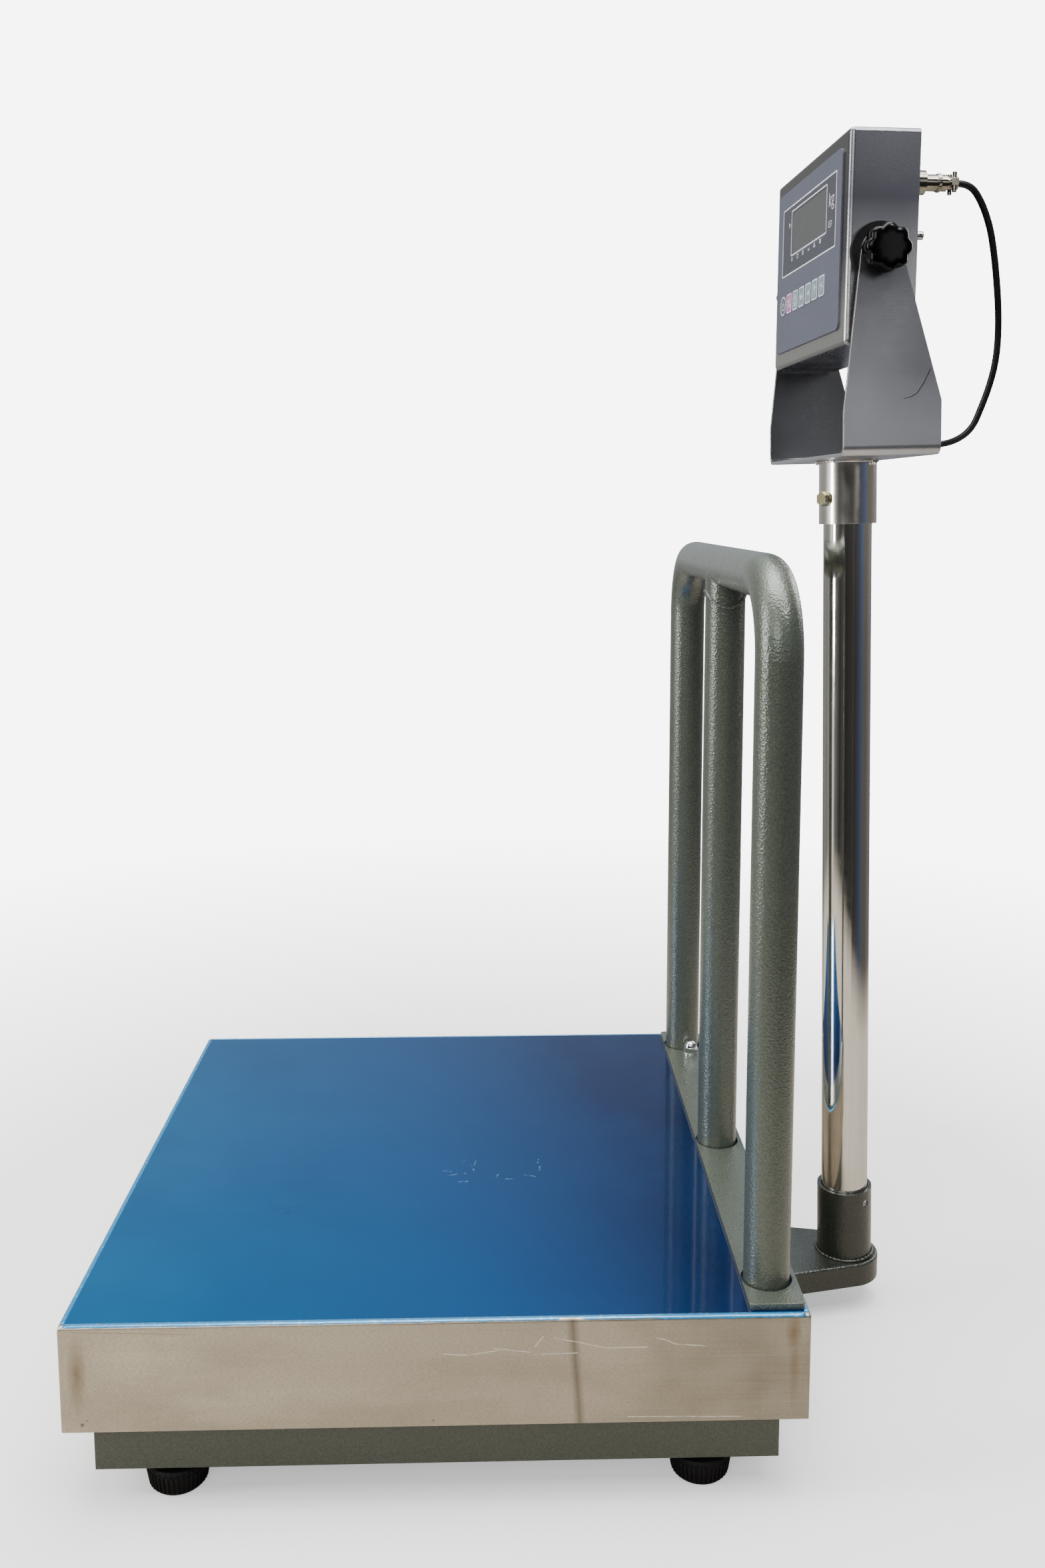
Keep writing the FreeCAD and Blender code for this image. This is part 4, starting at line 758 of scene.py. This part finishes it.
def make_panel_print():
    """The two outlines, the unit, small generic marks and the darker field between the outlines."""
    kg_x, kg_z = 54.6, 39.4

    def kg(*spots):
        return [(kg_x + x, kg_z + z) for x, z in spots]

    lines = [
        (rounded_outline(-0.5, 34.95, 143, 52.7, 0.6, 2), 1.05, CLOSED),
        (rounded_outline(0.4, 39.5, 95.4, 34.7, 1.2, 3), 0.95, CLOSED),
        (kg((0, 0), (0, 9.4)), 0.95),
        (kg((-1.1, 9.2), (0.3, 9.2)), 0.5),
        (kg((-1.2, 0.2), (1.3, 0.2)), 0.5),
        (kg((0.3, 2.6), (4.1, 6.2)), 0.6),
        (kg((1.4, 3.7), (4.5, 0.2)), 0.8),
        (kg((3.0, 6.3), (5.0, 6.3)), 0.45),
        (kg((3.5, 0.2), (5.4, 0.2)), 0.45),
        (oval(kg_x + 8.6, kg_z + 4.3, 4.0, 4.3), 0.7, CLOSED),
        (kg((10.2, 5.6), (11.9, 6.4)), 0.6),
        (oval(kg_x + 8.8, kg_z - 1.5, 5.4, 3.0), 0.7, CLOSED),
        (kg((7.3, 2.5), (6.7, 1.3), (8.4, 0.4)), 0.65),
        ([(-54.5, 45.6), (-51.8, 47.2), (-54.5, 48.8)], 0.7, CLOSED),
        (rounded_outline(57.5, 26.6, 7.4, 3.9, 0.5, 2), 0.5, CLOSED),
        ([(55.6, 26.6), (59.4, 26.6)], 0.6),
        ([(-45.6, 18.9), (-44.4, 20.2), (-43.2, 18.9), (-44.4, 17.4)], 0.6, CLOSED),
        (rounded_outline(-28.2, 18.8, 3.4, 2.9, 0.4, 2), 0.55, CLOSED),
        *[([(-15.3, 17.7 + k * 1.2), (-10.9, 17.7 + k * 1.2)], 0.5) for k in range(3)],
        ([(0.9, 19.2), (2.2, 17.7), (4.2, 17.7), (5.5, 19.2)], 0.6),
        ([(16.2, 17.6), (20.4, 17.6), (18.3, 20.4)], 0.6, CLOSED),
        (oval(33.6, 18.9, 3.6, 3.0, 14), 0.6, CLOSED),
        ([(32.2, 18.9), (35.0, 18.9)], 0.5)]
    printed("panel_print", "indicator", "panel_print", lines, PANEL_FRONT)
    # each plate of the field is a wide line: its centre, width and height
    plates = ((-59.9, 34.95, 23.2, 51.8), (59.4, 34.95, 22.0, 51.8),
              (0.3, 14.9, 96.2, 11.0), (0.3, 59.1, 96.2, 2.4))
    field = [([(x - width / 2, z), (x + width / 2, z)], height) for x, z, width, height in plates]
    printed("panel_field", "indicator", "panel_print", field, PANEL_FRONT + 0.03, FIELD)


def arrow(dx, dz):
    """The lines of a short arrow that points along (dx, dz)."""
    def at(a, b):
        return (dx * a - dz * b, dz * a + dx * b)
    return [([at(-3.2, 0), at(2.4, 0)], 0.8), ([at(0.6, 2.1), at(3.1, 0), at(0.6, -2.1)], 0.8)]


def make_key_prints():
    """An outline and a generic symbol on each key."""
    symbols = (
        [([(-2.6, -3.0), (2.6, 3.0)], 0.8), (oval(-2.3, 2.2, 2.2, 2.2, 12), 0.6, CLOSED),
         (oval(2.3, -2.2, 2.2, 2.2, 12), 0.6, CLOSED)],
        [([(-2.0, 0.6), (2.0, 0.6), (0, 4.2)], 0.65, CLOSED),
         *[([(-2.6, -1.4 - k * 1.5), (2.6, -1.4 - k * 1.5)], 0.6) for k in range(3)]],
        [*arrow(-1, 0), ([(1.6, 2.6), (1.6, -2.6)], 0.6)],
        arrow(1, 0),
        arrow(0, 1),
        [([(-3.8, 0.9), (-0.8, 0.9)], 0.6), ([(-2.3, 2.4), (-2.3, -0.6)], 0.6),
         ([(-0.9, -2.9), (1.2, 2.9)], 0.55), ([(1.2, -0.8), (4.2, -0.8)], 0.6)])
    outline = (rounded_outline(0, 0, 13.0, 14.2, 1.7), 0.9, CLOSED)
    for number, symbol in enumerate(symbols, 1):
        slot = "key_pink" if number == 1 else "key_blue"
        printed(f"key_{number}_print", f"key_{number}", slot, [outline, *symbol], KEY_FRONT,
                centre=(KEY_FIRST_X + KEY_STEP * (number - 1), KEY_Z))
    power = [(oval(0, 0, 14.5, 14.5, 40), 1.0, CLOSED), (oval(0, -0.3, 6.0, 6.0, 20, -230, 50), 0.7),
             ([(0, -0.2), (0, 3.8)], 0.7)]
    printed("key_power_print", "key_power", "key_dark", power, KEY_FRONT, centre=(POWER_X, KEY_Z))


make_panel_print()
make_key_prints()


# ---------------------------------------------------------------- film edge
def film_reach(along, side):
    """How far round the bend the film reaches at one place, in radians: ragged, with one nick."""
    reach = 52 + noise.noise(Vector((along * 0.11, side * 7.0, 0))) * 9
    reach += noise.noise(Vector((along * 0.6, side * 3.0, 4))) * 7
    if side == 0:
        # the first side is the one on +X, with its length along +Y
        if abs(along - 90) < 7:
            reach = 9 + abs(noise.noise(Vector((along * 0.9, 5, 1)))) * 12
        if along > 150:
            reach += 16
    return math.radians(max(5, min(78, reach)))


def make_film_edge():
    """The film where it turns down over the pan's edge."""
    inner, flat, centre_z = 246.0, 247.5, 133.5
    half_length, count, bends = 246.2, 160, 6
    shape = Shape()
    for side in range(4):
        place = Matrix.Rotation(math.pi / 2 * side, 4, "Z")
        rows = []
        for i in range(count + 1):
            along = -half_length + 2 * half_length * i / count
            reach = film_reach(along, side)
            faces = []
            for radius in (2.72, 2.56):
                faces.append([(inner, centre_z + radius)])
                for k in range(bends + 1):
                    angle = reach * k / bends
                    faces[-1].append((flat + radius * math.sin(angle),
                                      centre_z + radius * math.cos(angle)))
            upper, under = faces
            rows.append([place @ Vector((r, along, h)) + Vector((0, PLATFORM_Y, 0))
                         for r, h in upper + under[::-1]])
        shape.add(*loft(rows))
    g = Graph("film_edge")
    torn = g.span(g.noise(300, 4), 0.55, 0.7)
    colour = g.mix(g.times(torn, 0.55), (0.03, 0.27, 0.55), (0.30, 0.55, 0.70))
    edge = g.finish(colour=colour, metal=0.3, rough=g.span(g.noise(90), 0.3, 0.7, 0.12, 0.30),
                    coat=0.7, coat_rough=0.1, normal=g.bump(g.noise(240, 3), 0.35, 0.0004))
    shape.piece("film_edge", "platform", "film", edge)


make_film_edge()


# ---------------------------------------------------------------- welds
def make_welds():
    """Beads round the socket and along the arm, in the frame's corners, and on the guard and sleeve."""
    shape = Shape()
    shape.add(*weld(ring_points(23.4, 0.9, 0.9), 1.35, 3, True))
    for x in (-1, 1):
        bead = [Vector((x * (51.5 - 0.06 * k), -104.2 + 0.35 * k, -18 + 0.8 * k)) for k in range(20)]
        shape.add(*weld(bead, 1.2, 7 + x))
    shape.add(*weld([Vector((-44 + 0.9 * k, -104.0, 0.6)) for k in range(98)], 1.3, 5))
    shape.piece("arm_welds", "base", "paint", MATERIALS["paint"], COLUMN)

    shape = Shape()
    for sx in (-1, 1):
        for sy in (-1, 1):
            y = PLATFORM_Y + sy * 193.5
            corner = [Vector((sx * 193.3, y - sy * 0.2, 25 + 0.9 * k)) for k in range(48)]
            shape.add(*weld(corner, 1.3, int(50 + sx * 3 + y)))
    shape.piece("frame_welds", "base", "paint", MATERIALS["paint"])

    shape = Shape()
    saddle = [Vector((16.4 * c, GUARD_Y + 16.4 * s, 607 - 16 * math.sqrt(max(0.05, 1 - s ** 2))))
              for c, s in circle(112)]
    shape.add(*weld(saddle, 1.15, 9, True))
    shape.piece("guard_weld", "platform", "paint", MATERIALS["paint"])

    shape = Shape()
    shape.add(*weld(ring_points(23.1, 0.9, 665.0), 1.0, 12, True))
    swell = [math.sqrt(max(0.03, 1 - (k / 3.1) ** 2)) for k in range(-3, 4)]
    for azimuth, size in ((37, 3.2), (-93, 2.0), (150, 2.4), (215, 2.2)):
        angle = math.radians(azimuth)
        centre = Vector((24.3 * math.cos(angle), 24.3 * math.sin(angle), 664.4))
        along = Vector((-math.sin(angle), math.cos(angle), 0))
        blob = [centre + along * k * size * 0.28 for k in range(-3, 4)]
        shape.add(*tube(blob, [size * share for share in swell], 12))
    shape.piece("sleeve_weld", "head", "head_steel", SLEEVE, HEAD)


make_welds()


# ---------------------------------------------------------------- plug ring
def make_plug_ring():
    """The knurled ring that couples the plug."""
    x, z, radius = 80.0, 52.0, 6.35
    rows = []
    for y, lift in ((46.6, 0.0), (46.9, 0.35), (48.6, 0.35), (48.9, 0.0)):
        reaches = [radius + lift * (1 if k % 2 else 0.35) for k in range(48)]
        rows.append([Vector((x + r * c, y, z + r * s)) for r, (c, s) in zip(reaches, circle(48))])
    shape = Shape()
    shape.add(*loft(rows))
    shape.piece("plug_ring", "indicator", "nickel", MATERIALS["nickel"], INDICATOR, False)


make_plug_ring()


# ---------------------------------------------------------------- foot ribs
def make_foot_ribs():
    """Upright rounded ribs round each rubber foot."""
    profile = ((1.6, 19.0), (2.4, 19.3), (13.4, 21.1), (14.4, 21.1))
    for corner in ("front_left", "front_right", "back_left", "back_right"):
        node = frame["nodes"][f"foot_pad_{corner}"]
        spots = [node.matrix_world @ Vector(c) for c in node.bound_box]
        centre = sum(spots, Vector()) / len(spots) / MM
        shape = Shape()
        for c, s in circle(40):
            line = [Vector((centre.x, centre.y, height)) + Vector((c, s, 0)) * radius
                    for height, radius in profile]
            shape.add(*tube(line, [0.55, 0.95, 0.95, 0.55], 8))
        shape.piece(f"foot_ribs_{corner}", f"foot_{corner}", "rubber", MATERIALS["rubber"])


make_foot_ribs()


# ---------------------------------------------------------------- star knobs
def make_knob(name, half_turn):
    """A star knob with eight rounded lobes that run out into a domed face."""
    lobes, sides = 8, 128
    knob_radius, lobe_depth, softness = 16.9, 2.5, 0.03
    start = BRACKET_HALF_WIDTH + 5.1
    # distance along the axis, share of the radius, and how much of the lobes shows
    profile = ((0.0, 0.30, 0.0), (0.0, 0.80, 0.7), (0.5, 0.93, 1.0), (2.2, 1.0, 1.0), (9.8, 1.0, 1.0),
               (11.8, 0.975, 1.0), (13.1, 0.915, 0.95), (13.9, 0.82, 0.75), (14.3, 0.68, 0.45),
               (14.5, 0.45, 0.15), (14.55, 0.12, 0.0))
    rows = []
    for along, share, depth in profile:
        row = []
        for k in range(sides):
            angle = 2 * math.pi * k / sides
            wave = math.sqrt(math.cos(lobes / 2 * angle) ** 2 + softness)
            radius = share * (knob_radius - lobe_depth * depth * max(0.0, 1 - wave))
            row.append(Vector((start + along, radius * math.cos(angle), radius * math.sin(angle))))
        rows.append(row)
    shape = Shape()
    shape.add(*loft(rows))
    # the hub, and the threaded stud that reaches the insert in the case
    for length, radius, around in ((5, 9.0, 48), (29, 4.0, 32)):
        ends = [Vector((start - length, 0, 0)), Vector((start + 1, 0, 0))]
        shape.add(*tube(ends, [radius, radius], around))
    place = INDICATOR @ turn(half_turn, "Z")
    piece = shape.piece(f"{name}_star", name, "knob_plastic", MATERIALS["knob_plastic"], place)
    piece.data.set_sharp_from_angle(angle=math.radians(35))
    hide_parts(name)


make_knob("knob_right", 0)
make_knob("knob_left", 180)


# ---------------------------------------------------------------- stage and light
def make_floor():
    """A pale floor for the camera, and for reflections a warmer one that ends near the scale."""
    points = [Vector((0, 0, 0))] + [Vector((25 * c, 25 * s, 0)) for c, s in circle(64)]
    faces = [(0, 1 + k, 1 + (k + 1) % 64) for k in range(64)]
    floor = link("floor", mesh("floor", points, faces, False))
    g = Graph("floor")

    def shader(kind, inputs=None):
        return g.add(f"ShaderNode{kind}", inputs).outputs[0]

    away = g.vector("LENGTH", g.place).outputs["Value"]
    lit = shader("BsdfDiffuse", {"Color": PALE})
    glow = shader("Emission", {"Color": (1, 1, 1), "Strength": 0.55})
    far = shader("Emission", {"Color": (1, 1, 1), "Strength": PALE_LIGHT})
    near = shader("AddShader", {0: lit, 1: glow})
    seen = shader("MixShader", {0: g.span(away, 0.55, 1.7), 1: near, 2: far})
    warm = shader("BsdfDiffuse", {"Color": (0.40, 0.365, 0.31)})
    reflected = shader("MixShader", {0: g.span(away, 0.9, 1.2), 1: warm, 2: shader("BsdfTransparent")})
    ray = g.add("ShaderNodeLightPath").outputs["Is Camera Ray"]
    g.show(g.add("ShaderNodeMixShader", {0: ray, 1: reflected, 2: seen}))
    floor.data.materials.append(g.owner)


def make_world():
    """A pale surround, and for reflections a plain studio of soft dark and bright upright panels."""
    g = Graph("studio", world=True)
    bpy.context.scene.world = g.owner
    x, y, z = g.axes()
    angle = g.math("ARCTAN2", y, x)
    around = g.math("ADD", g.times(angle, 1 / (2 * math.pi)), 0.5)
    # the panels by azimuth in degrees
    tones = ((-180, (0.52, 0.54, 0.57)), (-155, (0.40, 0.40, 0.39)), (-125, (0.30, 0.30, 0.29)),
             (-108, (0.40, 0.42, 0.42)), (-97, (1.25, 1.26, 1.26)), (-82, (1.25, 1.26, 1.28)),
             (-74, (0.24, 0.24, 0.24)), (-60, (0.15, 0.145, 0.135)), (-48, (0.05, 0.05, 0.05)),
             (-36, (0.09, 0.09, 0.09)), (-22, (0.035, 0.035, 0.037)), (8, (0.06, 0.058, 0.055)),
             (17, (0.16, 0.155, 0.14)), (26, (0.05, 0.05, 0.052)), (44, (0.075, 0.085, 0.115)),
             (60, (0.085, 0.125, 0.25)), (70, (0.15, 0.145, 0.14)), (92, (0.16, 0.15, 0.135)),
             (120, (0.26, 0.25, 0.24)), (150, (0.22, 0.25, 0.32)), (178, (0.52, 0.54, 0.57)))
    band = g.ramp(around, *[((a + 180) / 360, tone) for a, tone in tones])
    height = g.add("ShaderNodeMath", {0: z, 1: 0.5, 2: 0.5}, operation="MULTIPLY_ADD").outputs[0]
    above = g.ramp(height, (0.0, (0.4, 0.38, 0.34)), (0.46, (0.75, 0.74, 0.72)),
                   (0.5, (1.0, 1.0, 1.0)), (0.62, (0.80, 0.81, 0.83)), (0.76, (0.62, 0.66, 0.72)),
                   (0.90, (3.0, 3.0, 3.0)), (1.0, (6.0, 6.0, 6.0)))
    studio = g.add("ShaderNodeBackground", {"Color": g.mix(1.0, band, above, "MULTIPLY")})
    pale = g.add("ShaderNodeBackground", {"Color": (1, 1, 1), "Strength": PALE_LIGHT})
    ray = g.add("ShaderNodeLightPath").outputs["Is Camera Ray"]
    g.show(g.add("ShaderNodeMixShader", {0: ray, 1: studio.outputs[0], 2: pale.outputs[0]}))


def area(name, place, aim, width, height, power, colour):
    """A soft rectangular lamp, its place and aim in metres and its power in watts."""
    data = bpy.data.lights.new(name, "AREA")
    data.shape = "RECTANGLE"
    data.size, data.size_y, data.energy, data.color = width, height, power, colour
    lamp = bpy.data.objects.new(name, data)
    bpy.context.scene.collection.objects.link(lamp)
    lamp.location = place
    lamp.rotation_mode = "QUATERNION"
    lamp.rotation_quaternion = (Vector(aim) - Vector(place)).to_track_quat("-Z", "Y")


make_floor()
make_world()
area("key_tall", (0.55, -2.6, 1.25), (0, 0.1, 0.55), 0.45, 2.3, 64, (1.0, 0.985, 0.96))
area("top_soft", (0.2, 0.1, 2.7), (0, 0, 0.3), 1.8, 1.8, 74, (1.0, 0.99, 0.97))
area("ear_key", (1.15, 1.05, 2.35), (0.1, 0.28, 0.75), 0.45, 0.45, 14, (1.0, 0.99, 0.97))
area("ear_panel", (2.05, 1.2, 1.2), (0.1, 0.28, 0.80), 0.55, 0.75, 1.25, (0.98, 0.99, 1.0))
area("front_fill", (2.6, -0.9, 1.9), (0, 0.05, 0.4), 1.6, 1.2, 26, (0.97, 0.98, 1.0))
area("back_fill", (-1.8, 2.0, 1.6), (0, 0.1, 0.5), 1.4, 1.4, 22, (1.0, 0.97, 0.93))
